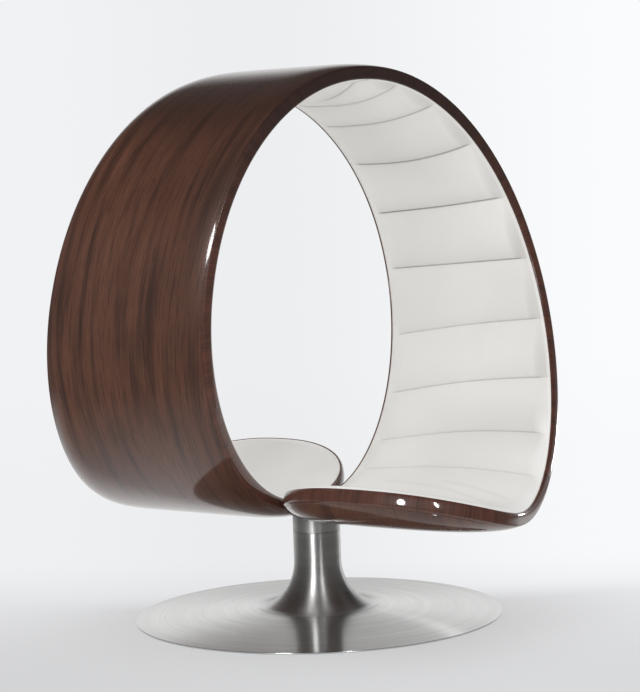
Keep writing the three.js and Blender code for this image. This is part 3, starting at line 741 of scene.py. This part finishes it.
# The pillows between the seams: their height, their roll down to each rim and the border beside it
PILLOW_HEIGHT, SEAT_PILLOW, SEAT_PILLOW_RUN = 0.0160, 0.0150, 0.25
FULL_PANEL, SEAT_ROUND = 0.13, 0.30
PILLOW_EDGE, NEAR_ROLL, FAR_ROLL, LOW_ROLL = 0.006, 0.020, 0.050, 0.044
PILLOW_POWER, NEAR_POWER, FAR_POWER = 2.5, 1.15, 1.6
BORDER_HEIGHT, FAR_BORDER, BORDER_ROLL = 0.0036, 0.0012, 0.011
# Shares of a panel's length, of the half width and of the nose over which these change
LOW_ROLL_AT, ROLL_SIDE, ROLL_NOSE = 0.8, 0.3, 0.6
BORDER_SIDE, BORDER_NOSE = 0.6, 0.4

# The seams end a little before the rims, and the first one long before the far rim
SEAM_DEPTH, SEAM_WIDTH = 0.0040, 0.0018
SEAM_END, NEAR_SEAM_FADE, FAR_SEAM_FADE, TOP_SEAM_FADE = 0.012, 0.034, 0.020, 0.03
FIRST_SEAM_FADE = (0.25, 0.60)

# Two creases on each seat, as (distance down the ribbon, place across)
SEAT_FOLDS = (((1.752, 0.166), (1.763, 0.068), (1.791, -0.050), (1.846, -0.137), (1.930, -0.220),
               (2.020, -0.280)),
              ((1.735, -0.020), (1.760, -0.110), (1.800, -0.190), (1.850, -0.255)))
FOLD_DEPTH, FOLD_WIDTH = 0.0011, 0.010
PUCKER_HEIGHT, PUCKER_REACH, UNEVENNESS = 0.00022, 0.012, 0.0005

# How deep the painted shade lies in the leather: below seams, at the rim, in the strip beside the near rim,
# and over lower panels, seats and the top of the ring; each run is given by distances down the ribbon
SEAM_SHADE, SEAM_SHADE_REACH = 0.34, 0.028
CREASE_SHADE, RIM_SHADE, RIM_SHADE_REACH = 0.12, 0.3, 0.002
STRIP_START, STRIP_SHADE, STRIP_BELOW_SHADE, STRIP_BELOW_END = 0.012, 0.12, 0.32, (1.36, 1.46)
STRIP_MID_SHADE, STRIP_MID_RUN = 0.24, (0.70, 0.90, 1.25, 1.35)
LOW_WALL_SHADE, LOW_WALL_RUN = 0.36, (0.75, 1.05, 1.40, 1.65)
SEAT_SHADE, SEAT_SHADE_START, SEAT_SHADE_SIDE = 0.30, (1.30, 1.45), (0.2, 0.0)
NOSE_SHADE, NOSE_SHADE_START = 0.19, (1.95, 2.25)
TOP_SHADE, TOP_SHADE_END, TOP_SHADE_SIDE = 0.24, (0.5, 0.7), (-0.15, 0.10)

# Farther than any two points of the chair lie apart
BEYOND_ALL = 9.0


def above(value, floor, blend=0.02):
    """The value, kept smoothly above a floor."""
    return floor + 0.5 * (value - floor + np.sqrt((value - floor) ** 2 + blend ** 2))


def seam_curves(share):
    """How far down the ribbon each seam lies at a share of the half width."""
    curves = [down + lean * share + bow * share ** 2 for down, lean, bow, _ in SEAMS]
    curves[0] = above(curves[1] - above(curves[1] - curves[0], FIRST_PANEL), FIRST_SEAM)
    return curves


def cover_rows(crowded=0.11, seat_crowded=0.06):
    """Each row's panel and its share of the way down that panel, closer together beside the seams."""
    marks = [0.0] + [seam[0] for seam in SEAMS]
    panels, shares = [], []
    for panel, length in enumerate(np.diff(marks)):
        count = max(int(length / PANEL_ROW), FEWEST_ROWS)
        t = np.linspace(0, 1, count + 1)[1 if panels else 0:]
        shares.extend(t - crowded * np.sin(2 * math.pi * t))
        panels.extend([panel] * len(t))
    count = int((NOSE_START - marks[-1]) / SEAT_ROW)
    t = np.arange(1, count) / count
    shares.extend(t - seat_crowded * np.sin(math.pi * t))
    panels.extend([len(SEAMS)] * len(t))
    return np.array(panels), np.array(shares)


def waves(value, seed, count, low, high, height=0.9):
    """A sum of a few sines with fixed random phases, between about -1 and 1."""
    random = np.random.default_rng(seed)
    total = np.zeros_like(value)
    for _ in range(count):
        total += np.sin(value * random.uniform(low, high) + random.uniform(0, 2 * math.pi))
    return total / math.sqrt(count) * height


def rise(t):
    """A quarter round from 0 to 1."""
    held = np.clip(t, 0, 1)
    return np.sqrt(1 - (1 - held) ** 2)


def beside(s, across, line):
    """How far points of the flat ribbon lie from a line drawn on it."""
    nearest = np.full(s.shape, BEYOND_ALL)
    for (s0, a0), (s1, a1) in zip(line[:-1], line[1:]):
        run, aside = s1 - s0, a1 - a0
        t = np.clip(((s - s0) * run + (across - a0) * aside) / (run ** 2 + aside ** 2), 0, 1)
        nearest = np.minimum(nearest, np.hypot(s - s0 - t * run, across - a0 - t * aside))
    return nearest


def fold_shade(s, across, share, edge, inside, after, low_down, drawn, is_seat):
    """How deep the painted shade lies in the leather, without its seams and creases."""
    below_seam = SEAM_SHADE * drawn * np.exp(-after / SEAM_SHADE_REACH)
    below = STRIP_BELOW_SHADE * low_down * (1 - ramp(s, *STRIP_BELOW_END))
    strip = STRIP_SHADE + (below + STRIP_MID_SHADE * along_run(s, *STRIP_MID_RUN)) * (1 - is_seat)
    strip = strip * (1 - inside ** 3) * soft_step(edge / STRIP_START) * (share < 0)
    low_wall = LOW_WALL_SHADE * np.maximum(-share, 0) * along_run(s, *LOW_WALL_RUN)
    seat = (SEAT_SHADE * ramp(s, *SEAT_SHADE_START) * ramp(across, *SEAT_SHADE_SIDE)
            + NOSE_SHADE * ramp(s, *NOSE_SHADE_START))
    top = TOP_SHADE * (1 - ramp(s, *TOP_SHADE_END)) * ramp(across, *TOP_SHADE_SIDE)
    rim = RIM_SHADE * np.exp(-(edge / RIM_SHADE_REACH) ** 2)
    return below_seam + strip + (low_wall + seat) * inside ** 2 + top + rim


def pillow_sides(s, share, panel):
    """How far each point lies below the seam above it and above the seam below it."""
    curves = seam_curves(share)
    bounds = np.stack([-seam_curves(-share)[0], *curves, curves[-1] + 2 * SEAT_ROUND])
    rows, columns = np.arange(len(s))[:, None], np.arange(s.shape[1])[None, :]
    before = np.maximum(s - bounds[panel[:, None], rows, columns], 0)
    after = np.maximum(bounds[panel[:, None] + 1, rows, columns] - s, 0)
    return before, after


def cover_relief(s, share, panel, full_half):
    """The leather's height over the rim's inner line, and how deep its painted shade lies."""
    along = np.maximum(s - NOSE_START, 0) / (NOSE_LENGTH - LEATHER_INSET)
    outward = np.minimum((np.abs(share) ** NOSE_POWER + along ** NOSE_POWER) ** (1 / NOSE_POWER), 1)
    edge = (1 - outward) * full_half
    across = share * full_half
    is_seat = (panel == len(SEAMS))[:, None]
    before, after = pillow_sides(s, share, panel)
    after = np.where(is_seat, BEYOND_ALL, after)
    away, length = np.minimum(before, after), np.where(is_seat, SEAT_ROUND, before + after)

    arc = 1 - (1 - np.clip(away / (length / 2), 0, 1)) ** PILLOW_POWER
    seat_thick = PILLOW_HEIGHT + (SEAT_PILLOW - PILLOW_HEIGHT) * soft_step(before / SEAT_PILLOW_RUN)
    thick = np.where(is_seat, seat_thick, PILLOW_HEIGHT * np.minimum(length / FULL_PANEL, 1))
    low_down = soft_step(before / length / LOW_ROLL_AT)
    roll = np.where(share < 0, NEAR_ROLL + (LOW_ROLL - NEAR_ROLL) * low_down, FAR_ROLL)
    beside_middle = soft_step(np.abs(share) / ROLL_SIDE) * (1 - soft_step(along / ROLL_NOSE))
    roll = FAR_ROLL + (roll - FAR_ROLL) * beside_middle
    power = np.where(share < -ROLL_SIDE, NEAR_POWER, FAR_POWER)
    inside = 1 - (1 - np.clip((edge - PILLOW_EDGE) / roll, 0, 1)) ** power
    border = np.where(share > 0, FAR_BORDER, BORDER_HEIGHT)
    far_side = soft_step(share / BORDER_SIDE) * (1 - soft_step(along / BORDER_NOSE))
    border = (BORDER_HEIGHT + (border - BORDER_HEIGHT) * far_side) * rise(edge / BORDER_ROLL)

    firm = np.array([SEAMS[0][3]] + [seam[3] for seam in SEAMS] + [0.0])
    firm = np.where(before < after, firm[panel][:, None], firm[panel + 1][:, None])
    fade = soft_step((edge - SEAM_END) / np.where(share < 0, NEAR_SEAM_FADE, FAR_SEAM_FADE))
    fade = fade * soft_step(s / TOP_SEAM_FADE)
    at_first = (panel == 0)[:, None] & (before > after) | (panel == 1)[:, None] & (before < after)
    fade = fade * np.where(at_first, 1 - ramp(share, *FIRST_SEAM_FADE), 1.0)
    line = firm * fade * np.exp(-(away / SEAM_WIDTH) ** 2)
    creases = sum(np.exp(-(beside(s, across, fold_and_shade) / FOLD_WIDTH) ** 2) for fold_and_shade in SEAT_FOLDS)
    pucker = PUCKER_HEIGHT * waves(across, seed=5, count=9, low=200, high=420)
    pucker = pucker * np.exp(-away / PUCKER_REACH) * fade
    uneven = waves(s, seed=8, count=5, low=18, high=40) * waves(across, seed=9, count=5, low=14, high=34)
    relief = border + thick * arc * inside - SEAM_DEPTH * line - FOLD_DEPTH * creases + pucker
    relief = relief + UNEVENNESS * uneven * inside
    shade = fold_shade(s, across, share, edge, inside, after, low_down, firm * fade, is_seat)
    # Seam lines and creases darken the colour too, as painted shade in their grooves
    return relief, line + shade + CREASE_SHADE * creases


def make_covers():
    panel, t = cover_rows()
    shares = np.linspace(-1, 1, COVER_COLUMNS)[None, :]
    shares = CROWDED_COLUMNS * np.sin(shares * math.pi / 2) + EVEN_COLUMNS * shares
    curves = np.vstack([np.full(shares.shape, TOP_JOINT), *seam_curves(shares),
                        np.full(shares.shape, NOSE_START)])
    body = curves[panel] + (curves[panel + 1] - curves[panel]) * t[:, None]
    nose, closing = row_places(np.zeros(0), COVER_NOSE_ROWS, LEATHER_INSET)
    s = np.vstack([body, np.repeat(nose[:, None], COVER_COLUMNS, axis=1)])
    panel = np.concatenate([panel, np.full(len(nose), len(SEAMS))])
    narrowed = np.concatenate([np.ones(len(body)), closing])[:, None] * shares
    half = half_width(s) - LEATHER_INSET
    y = middle(s) + half * narrowed
    relief, fold_and_shade = cover_relief(s, narrowed, panel, half)
    top = on_ribbon(s, y, -RIM_THICKNESS - relief)
    # The flat underside needs only every fourth column
    near, far, between = slice(0, 1), slice(-1, None), slice(-3, 2, -4)
    under = [on_ribbon(s[:, part], y[:, part], COVER_UNDERSIDE) for part in (far, between, near)]
    points = closed_rows(top, *under)
    ruling = np.stack([s, y - middle(s)], axis=-1)
    ruling = closed_rows(ruling, ruling[:, far], ruling[:, between], ruling[:, near])
    cover = laid_grid("leather_front", points, ruling)
    # The top's points carry the leather's painted shade for its colour
    fold_and_shade_values = np.zeros(points.shape[:2])
    fold_and_shade_values[:, :COVER_COLUMNS] = fold_and_shade
    cover.data.attributes.new("fold_and_shade", "FLOAT", "POINT").data.foreach_set("value", fold_and_shade_values.ravel())
    weld(cover)
    smooth(cover, 60)
    rear = half_turn(cover, "leather_rear")
    for piece, end in ((cover, "front"), (rear, "rear")):
        finish_piece(piece, LEATHER, "pod", "leather", "leather_cover_" + end)


def make_piping():
    """A thin sewn edge where the leather meets the band."""
    radius, sides = 0.0009, 8
    outset, lift = 0.0004, 0.0006
    turn = np.linspace(0, 2 * math.pi, sides + 1)[:-1]
    ring = np.stack([-LEATHER_INSET - outset + radius * np.cos(turn),
                     -RIM_THICKNESS - lift + radius * np.sin(turn)], axis=1)
    piping = swept_edge("piping_front", lambda corner, outward: np.repeat(ring[None], len(corner), axis=0))
    weld(piping)
    smooth(piping, 60)
    rear = half_turn(piping, "piping_rear")
    for piece in (piping, rear):
        finish_piece(piece, PIPING, "pod", "leather")


# Foam pads
FOAM_INSET, FOAM_GAP = 0.0148, 0.0012
FOAM_ROW, FOAM_NOSE_ROWS, FOAM_COLUMNS = 0.012, 30, 33
STRAP_POCKET, STRAP_REACH, STRAP_SLOPE = 0.0054, 0.116, 0.004
BAR_CLEARANCE = 0.001


def make_foam():
    """The pad between shell and cover, with a pocket for the joint's strap and one for the clamp bar."""
    distances, closing = row_places(np.arange(TOP_JOINT, NOSE_START, FOAM_ROW), FOAM_NOSE_ROWS, FOAM_INSET)
    s, mid, half = span_rows(distances, closing, FOAM_INSET)
    y = mid + half * across_places(FOAM_COLUMNS)
    pocket = STRAP_POCKET * (1 - soft_step((s - STRAP_REACH) / STRAP_SLOPE))
    outer = on_ribbon(s, y, crown(s, y) - SHELL_THICKNESS - FOAM_GAP - pocket)
    inner = on_ribbon(s, y, COVER_UNDERSIDE + COVER_GAP)[:, ::-1]
    ruling = closed_rows(ruled_map(s, y, mid), ruled_map(s, y, mid)[:, ::-1])
    foam = laid_grid("foam_pad_front", closed_rows(outer, inner), ruling)
    weld(foam)
    low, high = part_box("clamp_bar_front")
    bpy.ops.mesh.primitive_cube_add(size=1, location=(low + high) / 2,
                                    scale=[v + BAR_CLEARANCE for v in high - low])
    bar = bpy.context.object
    bpy.ops.object.transform_apply(location=True, rotation=True, scale=True)
    modify(foam, "BOOLEAN", object=bar, operation="DIFFERENCE", solver="EXACT")
    bpy.data.objects.remove(bar)
    smooth(foam, 40)
    rear = half_turn(foam, "foam_pad_rear")
    for piece, end in ((foam, "front"), (rear, "rear")):
        finish_piece(piece, FOAM, "pod", "foam", "foam_" + end)


# The pedestal
COLUMN_RADIUS, COLUMN_TOP = 0.0655, 0.237
COLUMN_WALL, COLUMN_CHAMFER = 0.003, 0.0005
FLARE_TOP, FLARE_DEPTH, FLARE_REACH = 0.155, 0.135, 0.130
FLARE_SWEEP, FLARE_END, FLARE_HANDLE = 0.93, 0.166, 0.42
FLARE_STEPS, RUN_OUT_STEPS, STRAIGHT_STEPS, COLUMN_STEPS = 26, 17, 5, 144
FOOT_RADIUS, FLARE_LIFT, WALL_LIFT = 0.146, 0.0003, 0.0001
DISC_RADIUS, DISC_HOLE, DISC_CENTRE, DISC_EDGE = 0.508, 0.05, 0.0395, 0.0055
DISC_LOW, DISC_SHEET, DISC_ROUND = 0.0015, 0.002, 0.0009
DISC_RIM, DISC_RIM_TOP, DISC_TOP_END = 0.0067, 0.0048, 0.0015
DISC_RINGS, DISC_STEPS = 40, 256
# The skin's inner side follows every fourth point of the flare, from the seventh down
INNER_START, INNER_STRIDE = 6, 4


def disc_top(radius):
    return DISC_CENTRE + (DISC_EDGE - DISC_CENTRE) * radius / DISC_RADIUS


def flare_line():
    """The column's flare from its straight part down and out until it runs into the disc."""
    foot = math.acos(1 - (FOOT_RADIUS - COLUMN_RADIUS) / FLARE_REACH)
    sweep = np.linspace(0, foot * FLARE_SWEEP, FLARE_STEPS)
    line = [np.array((COLUMN_RADIUS + FLARE_REACH * (1 - math.cos(a)), FLARE_TOP - FLARE_DEPTH * math.sin(a)))
            for a in sweep]
    start, slope = line[-1], line[-1] - line[-2]
    slope /= np.linalg.norm(slope)
    end = np.array((FLARE_END, disc_top(FLARE_END) + FLARE_LIFT))
    back = np.array((1.0, (DISC_EDGE - DISC_CENTRE) / DISC_RADIUS))
    reach = np.linalg.norm(end - start) * FLARE_HANDLE
    handle, other = start + slope * reach, end - back * reach
    for t in np.linspace(0, 1, RUN_OUT_STEPS)[1:]:
        line.append((1 - t) ** 3 * start + 3 * (1 - t) ** 2 * t * handle
                    + 3 * (1 - t) * t * t * other + t ** 3 * end)
    return line


def make_column():
    flare = flare_line()
    straight = np.linspace(FLARE_TOP, COLUMN_TOP - COLUMN_CHAMFER, STRAIGHT_STEPS)[1:]
    outside = [tuple(p) for p in flare[::-1]] + [(COLUMN_RADIUS, h) for h in straight]
    outside.append((COLUMN_RADIUS - COLUMN_CHAMFER, COLUMN_TOP))
    bore = COLUMN_RADIUS - COLUMN_WALL
    inside = [(bore, COLUMN_TOP), (bore, FLARE_TOP)]
    for radius, height in flare[INNER_START::INNER_STRIDE]:
        radius -= COLUMN_WALL
        if radius < FOOT_RADIUS:
            inside.append((radius, max(height - COLUMN_WALL, disc_top(radius) + WALL_LIFT)))
    inside.append((FOOT_RADIUS, disc_top(FOOT_RADIUS) + WALL_LIFT))
    column = turned("column_skin", outside + inside, COLUMN_STEPS)
    smooth(column, 35)
    finish_piece(column, BRUSHED, "base", "brushed_steel", "column_trumpet")


def make_disc():
    radii = np.linspace(DISC_HOLE, DISC_RADIUS - DISC_TOP_END, DISC_RINGS)
    top = [(r, disc_top(r)) for r in radii]
    rim = DISC_RADIUS - DISC_RIM
    edge = rounded([(DISC_RADIUS, DISC_EDGE), (DISC_RADIUS, DISC_LOW), (rim, DISC_LOW), (rim, DISC_RIM_TOP),
                    (DISC_HOLE, disc_top(DISC_HOLE) - DISC_SHEET)], DISC_ROUND)
    disc = turned("foot_disc", top + edge, DISC_STEPS)
    smooth(disc, 35)
    finish_piece(disc, BRUSHED, "base", "brushed_steel", "base_disc")


COLLAR_WALL, COLLAR_HEIGHT, COLLAR_HIGHEST = 0.0028, 0.045, 0.2905
COLLAR_CHAMFER, COLLAR_TOP_CHAMFER = 0.0005, 0.0006
COLLAR_GAP, COLLAR_LAP = 0.0004, 0.0006
COLLAR_STEPS = 144
HUB_RUN, HUB_RADIUS = (1.2, 2.0), 0.09
HUB_ROWS, HUB_COLUMNS, HUB_NEAREST = 500, 160, 3


def wood_above(places):
    """The height of the shells' underside over places on the floor: the least of a few points near each."""
    s, share = np.meshgrid(np.linspace(*HUB_RUN, HUB_ROWS), np.linspace(-1, 1, HUB_COLUMNS), indexing="ij")
    y = middle(s) + half_width(s) * share
    wood = on_ribbon(s, y, crown(s, y)).reshape(-1, 3)
    wood = wood[np.hypot(wood[:, 0], wood[:, 1]) < HUB_RADIUS]
    wood = np.vstack([wood, wood * (-1, -1, 1)])
    heights = []
    for x, y in places:
        order = np.argsort(np.hypot(wood[:, 0] - x, wood[:, 1] - y))
        heights.append(wood[order[:HUB_NEAREST], 2].min())
    return np.array(heights)


def make_collar():
    """A sleeve round the swivel's collar whose upper edge follows the wood it carries."""
    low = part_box("swivel_collar")[0].z - COLLAR_LAP
    turn = np.linspace(0, 2 * math.pi, COLLAR_STEPS + 1)
    places = COLUMN_RADIUS * np.stack([np.cos(turn), np.sin(turn)], axis=1)[:-1]
    tops = np.minimum(wood_above(places) - COLLAR_GAP, COLLAR_HIGHEST)
    bell = np.array((1, 2, 3, 2, 1)) / 9
    tops = np.minimum(tops, np.convolve(np.concatenate([tops[-2:], tops, tops[:2]]), bell, "valid"))
    tops = np.append(tops, tops[0])
    bore = COLUMN_RADIUS - COLLAR_WALL
    section = [(bore, 0), (COLUMN_RADIUS - COLLAR_CHAMFER, 0),
               (COLUMN_RADIUS, COLLAR_CHAMFER / COLLAR_HEIGHT), (COLUMN_RADIUS, 0.5), (COLUMN_RADIUS, 0.98),
               (COLUMN_RADIUS - COLLAR_TOP_CHAMFER, 1), (bore, 1), (bore, 0)]
    points = np.array([[(r * math.cos(a), r * math.sin(a), low + (top - low) * share) for r, share in section]
                       for a, top in zip(turn, tops)])
    ruling = np.stack(np.broadcast_arrays(turn[:, None] * COLUMN_RADIUS, points[:, :, 2]), axis=-1)
    collar = laid_grid("collar_sleeve", points, ruling)
    weld(collar)
    smooth(collar, 35)
    finish_piece(collar, COLLAR_STEEL, "pod", "brushed_steel", "swivel_collar")


# The inner parts that stay as they are
INNER_FINISHES = {
    "black_steel": BLACK_STEEL, "zinc_steel": ZINC, "bronze": BRONZE, "rubber": RUBBER,
    "raw_wood": RAW_WOOD, "brushed_steel": BRUSHED, "wood_veneer": VENEER, "leather": LEATHER, "foam": FOAM}


def finish_inner_parts():
    for part in frame["record"]["subparts"]:
        node = frame["nodes"][part["node"]]
        node.data.materials.clear()
        node.data.materials.append(INNER_FINISHES[part["material_slot"]])


make_shells()
make_bands()
make_covers()
make_piping()
make_foam()
make_column()
make_disc()
make_collar()
finish_inner_parts()


# The room and the camera

# The camera looks along YAW, which is counted from Y toward X
YAW, PITCH, ROLL = 0.9526, -0.0765, -0.0344
DISTANCE, CAMERA_HEIGHT, SIDESTEP = 5.7269, 1.186, 0.027
FOCAL_PIXELS, PHOTO_HEIGHT_PIXELS, SENSOR = 2085.12, 692, 36

PAPER, WHITE = (0.990, 0.998, 1.014, 1.0), (1.0, 1.0, 1.0, 1.0)
CLOTH_LIGHT = (0.995, 0.998, 1.0, 1.0)
FLOOR_SIZE, FLOOR_COLOUR = 60, (0.78, 0.78, 0.785, 1.0)

# How bright the backdrop and the floor look, where 1 is white; how much of the floor in the chair's shadow is
# a plain painted glow
LEFT_EXTRA, MIDDLE_TONE, RIGHT_TONE, BEHIND_TONE = 0.035, 0.855, 0.965, 0.656
NEAR_LEFT_TONE, NEAR_RIGHT_TONE, HORIZON_DIP = 0.632, 0.69, 0.018
PLAIN_FLOOR = 0.6

# What mirrors show of the room and of the floor under the chair, and what lights matt surfaces
DIM_ROOM, BRIGHT_ROOM, CEILING, UNDER_CHAIR = 0.07, 0.85, 0.06, 0.62
BOUNCE, LEAST_LIGHT, MOST_LIGHT = 0.93, 0.62, 1.13
FLOOR_SIDES, WALL_SIDES = -1.3, -1.2


def ahead(tree, parts):
    """How far a place or direction lies ahead, away from the camera, along the floor."""
    return plus(tree, times(tree, parts[0], math.sin(YAW)), times(tree, parts[1], math.cos(YAW)))


def beside_view(tree, parts):
    """How far it lies to the right of where the camera looks."""
    return plus(tree, times(tree, parts[0], math.cos(YAW)), times(tree, parts[1], -math.sin(YAW)))


def pick(tree, diffuse, camera, glossy):
    """One shader for light, one for what the camera sees and one for what mirrors show."""
    paths = place(tree, "LightPath").outputs
    shiny = maths(tree, "MAXIMUM", paths["Is Glossy Ray"], paths["Is Transmission Ray"])
    first = place(tree, "MixShader", {0: shiny, 1: diffuse, 2: glossy}).outputs[0]
    return place(tree, "MixShader", {0: paths["Is Camera Ray"], 1: first, 2: camera}).outputs[0]


def glow(tree, kind, tone, strength):
    return place(tree, kind, {"Color": tone, "Strength": strength}).outputs[0]


def backdrop_tone(tree, aside):
    """The backdrop's brightness across the picture: dimmest in the middle, white at the right."""
    left = spread(tree, aside, -0.14, -0.03, LEFT_EXTRA, 0.0)
    return plus(tree, left, spread(tree, aside, -0.03, 0.15, MIDDLE_TONE, RIGHT_TONE))


def mirrored_room(tree, depth):
    """What mirrors show, from the dim room behind the camera to the bright one ahead."""
    return spread(tree, depth, -0.1, 0.65, DIM_ROOM, BRIGHT_ROOM)


def floor_tone(tree, depth, aside):
    """The floor as the camera sees it: dimmer in front, and run up into the backdrop's tone."""
    across = maths(tree, "DIVIDE", aside, maths(tree, "MAXIMUM", plus(tree, depth, DISTANCE), 1.0))
    across = times(tree, across, spread(tree, depth, -4.5, -1.2))
    far_tone = minus(tree, backdrop_tone(tree, across), spread(tree, depth, 0.5, 9.0, HORIZON_DIP, 0.0))
    near_tone = spread(tree, across, -0.1, 0.14, NEAR_LEFT_TONE, NEAR_RIGHT_TONE)
    runs_up = spread(tree, plus(tree, depth, times(tree, across, 0.4)), -0.76, 0.97)
    return plus(tree, near_tone, times(tree, runs_up, minus(tree, far_tone, near_tone)))


def make_floor():
    """A pale floor: it keeps the chair's soft shadow, softened by a painted glow, runs into the backdrop and
    is dimmer behind; mirrors see a painted reflection of the room on it, and light bounces from its even
    glow.
    """
    bpy.ops.mesh.primitive_plane_add(size=FLOOR_SIZE, location=(0, 0, 0))
    floor = bpy.context.object
    floor.name = "studio_floor"
    material, tree, shader, given = new_material("studio_floor", Base_Color=FLOOR_COLOUR, Roughness=0.9,
                                                 Specular_IOR_Level=0.1)
    parts = axes(tree, given["Object"])
    radius, depth, aside = from_axis(tree, parts), ahead(tree, parts), beside_view(tree, parts)
    # To the camera the floor is partly a glow painted with its tone, which softens the chair's shadow
    flat = glow(tree, "Emission", PAPER, floor_tone(tree, depth, aside))
    beyond_shadow = maths(tree, "MAXIMUM", spread(tree, radius, 0.5, 1.6, PLAIN_FLOOR, 1.0),
                          spread(tree, depth, -0.25, 0.4))
    seen = place(tree, "MixShader", {0: beyond_shadow, 1: shader.outputs[0], 2: flat}).outputs[0]
    # Mirrors see on the floor a painted reflection of the room, and light bounces from an even glow
    sides = times(tree, maths(tree, "ABSOLUTE", aside), spread(tree, radius, 1.5, 4.0, 0.0, FLOOR_SIDES))
    room = maths(tree, "DIVIDE", plus(tree, depth, sides), maths(tree, "MAXIMUM", radius, 0.8))
    under_chair = spread(tree, radius, 0.4, 1.7, UNDER_CHAIR, 0.0)
    mirrored = glow(tree, "Emission", WHITE, maths(tree, "MAXIMUM", mirrored_room(tree, room), under_chair))
    bounced = glow(tree, "Emission", WHITE, BOUNCE)
    output = next(node for node in tree.nodes if node.type == "OUTPUT_MATERIAL")
    feed(tree, output, Surface=pick(tree, bounced, seen, mirrored))
    floor.data.materials.append(material)


def make_world():
    """A bright backdrop; mirrors show it ahead of the camera and a dim room behind and overhead."""
    world = bpy.data.worlds.new("studio")
    bpy.context.scene.world = world
    world.use_nodes = True
    tree = world.node_tree
    tree.nodes.clear()
    parts = axes(tree, place(tree, "TexCoord").outputs["Generated"])
    depth, aside = ahead(tree, parts), beside_view(tree, parts)
    front = spread(tree, depth, -0.1, 0.5)
    tone = plus(tree, times(tree, front, backdrop_tone(tree, aside)),
                times(tree, minus(tree, 1.0, front), BEHIND_TONE))
    room = plus(tree, depth, times(tree, maths(tree, "ABSOLUTE", aside), WALL_SIDES))
    room = times(tree, mirrored_room(tree, room), spread(tree, parts[2], 0.25, 0.55, 1.0, CEILING))
    toward_light = plus(tree, plus(tree, times(tree, depth, -0.35), times(tree, aside, -0.3)),
                        times(tree, parts[2], 0.7))
    cloth_light = spread(tree, toward_light, -0.9, 1.2, LEAST_LIGHT, MOST_LIGHT)
    output = tree.nodes.new("ShaderNodeOutputWorld")
    feed(tree, output, Surface=pick(tree, glow(tree, "Background", CLOTH_LIGHT, cloth_light),
                                    glow(tree, "Background", PAPER, tone),
                                    glow(tree, "Background", WHITE, room)))


def make_camera():
    forward = Vector((math.sin(YAW) * math.cos(PITCH), math.cos(YAW) * math.cos(PITCH), math.sin(PITCH)))
    right = Vector((math.cos(YAW), -math.sin(YAW), 0))
    up = right.cross(forward)
    rolled_right = right * math.cos(ROLL) + up * math.sin(ROLL)
    rolled_up = up * math.cos(ROLL) - right * math.sin(ROLL)
    spot = Vector((-DISTANCE * math.sin(YAW), -DISTANCE * math.cos(YAW), 0)) + right * SIDESTEP
    spot.z = CAMERA_HEIGHT
    data = bpy.data.cameras.new("camera")
    data.lens, data.sensor_width = FOCAL_PIXELS * SENSOR / PHOTO_HEIGHT_PIXELS, SENSOR
    camera = bpy.data.objects.new("camera", data)
    bpy.context.scene.collection.objects.link(camera)
    turn = Matrix((rolled_right, rolled_up, -forward)).transposed()
    camera.matrix_world = Matrix.Translation(spot) @ turn.to_4x4()
    bpy.context.scene.camera = camera


# Each lamp: its bearing from the camera's side in degrees to the right, height, distance, size and power
KEY_LIGHT = ("softbox_key", -36, 3.4, 4.6, (2.4, 2.2), 50)
GLEAMS = (("strip_left", -22, 2.0, 4.4, (0.7, 1.5), 90), ("strip_right", 18, 2.1, 4.6, (0.34, 1.4), 50),
          ("strip_side", 138, 0.25, 4.0, (0.10, 0.40), 4), ("lamp_back", 167.7, 2.72, 5.8, (0.15, 0.15), 1.0))
# The height that the lamps face
LIT_HEIGHT = 0.8


def lamp(name, bearing, height, distance, size, power):
    """An oval lamp that faces the chair."""
    turn = YAW + math.pi - math.radians(bearing)
    spot = Vector((math.sin(turn), math.cos(turn), 0)) * distance
    spot.z = height
    data = bpy.data.lights.new(name, "AREA")
    data.shape, data.size, data.size_y = "ELLIPSE", size[0], size[1]
    data.energy = power
    light = bpy.data.objects.new(name, data)
    bpy.context.scene.collection.objects.link(light)
    light.location = spot
    light.rotation_mode = "QUATERNION"
    light.rotation_quaternion = (spot - Vector((0, 0, LIT_HEIGHT))).to_track_quat("Z", "Y")
    return light


def make_lamps():
    """The key light falls on matt surfaces alone; the others only gleam in lacquer and steel."""
    lamp(*KEY_LIGHT).visible_glossy = False
    for gleam in GLEAMS:
        lamp(*gleam).visible_diffuse = False


make_floor()
make_world()
make_camera()
make_lamps()

bpy.context.scene.view_settings.view_transform = "Standard"
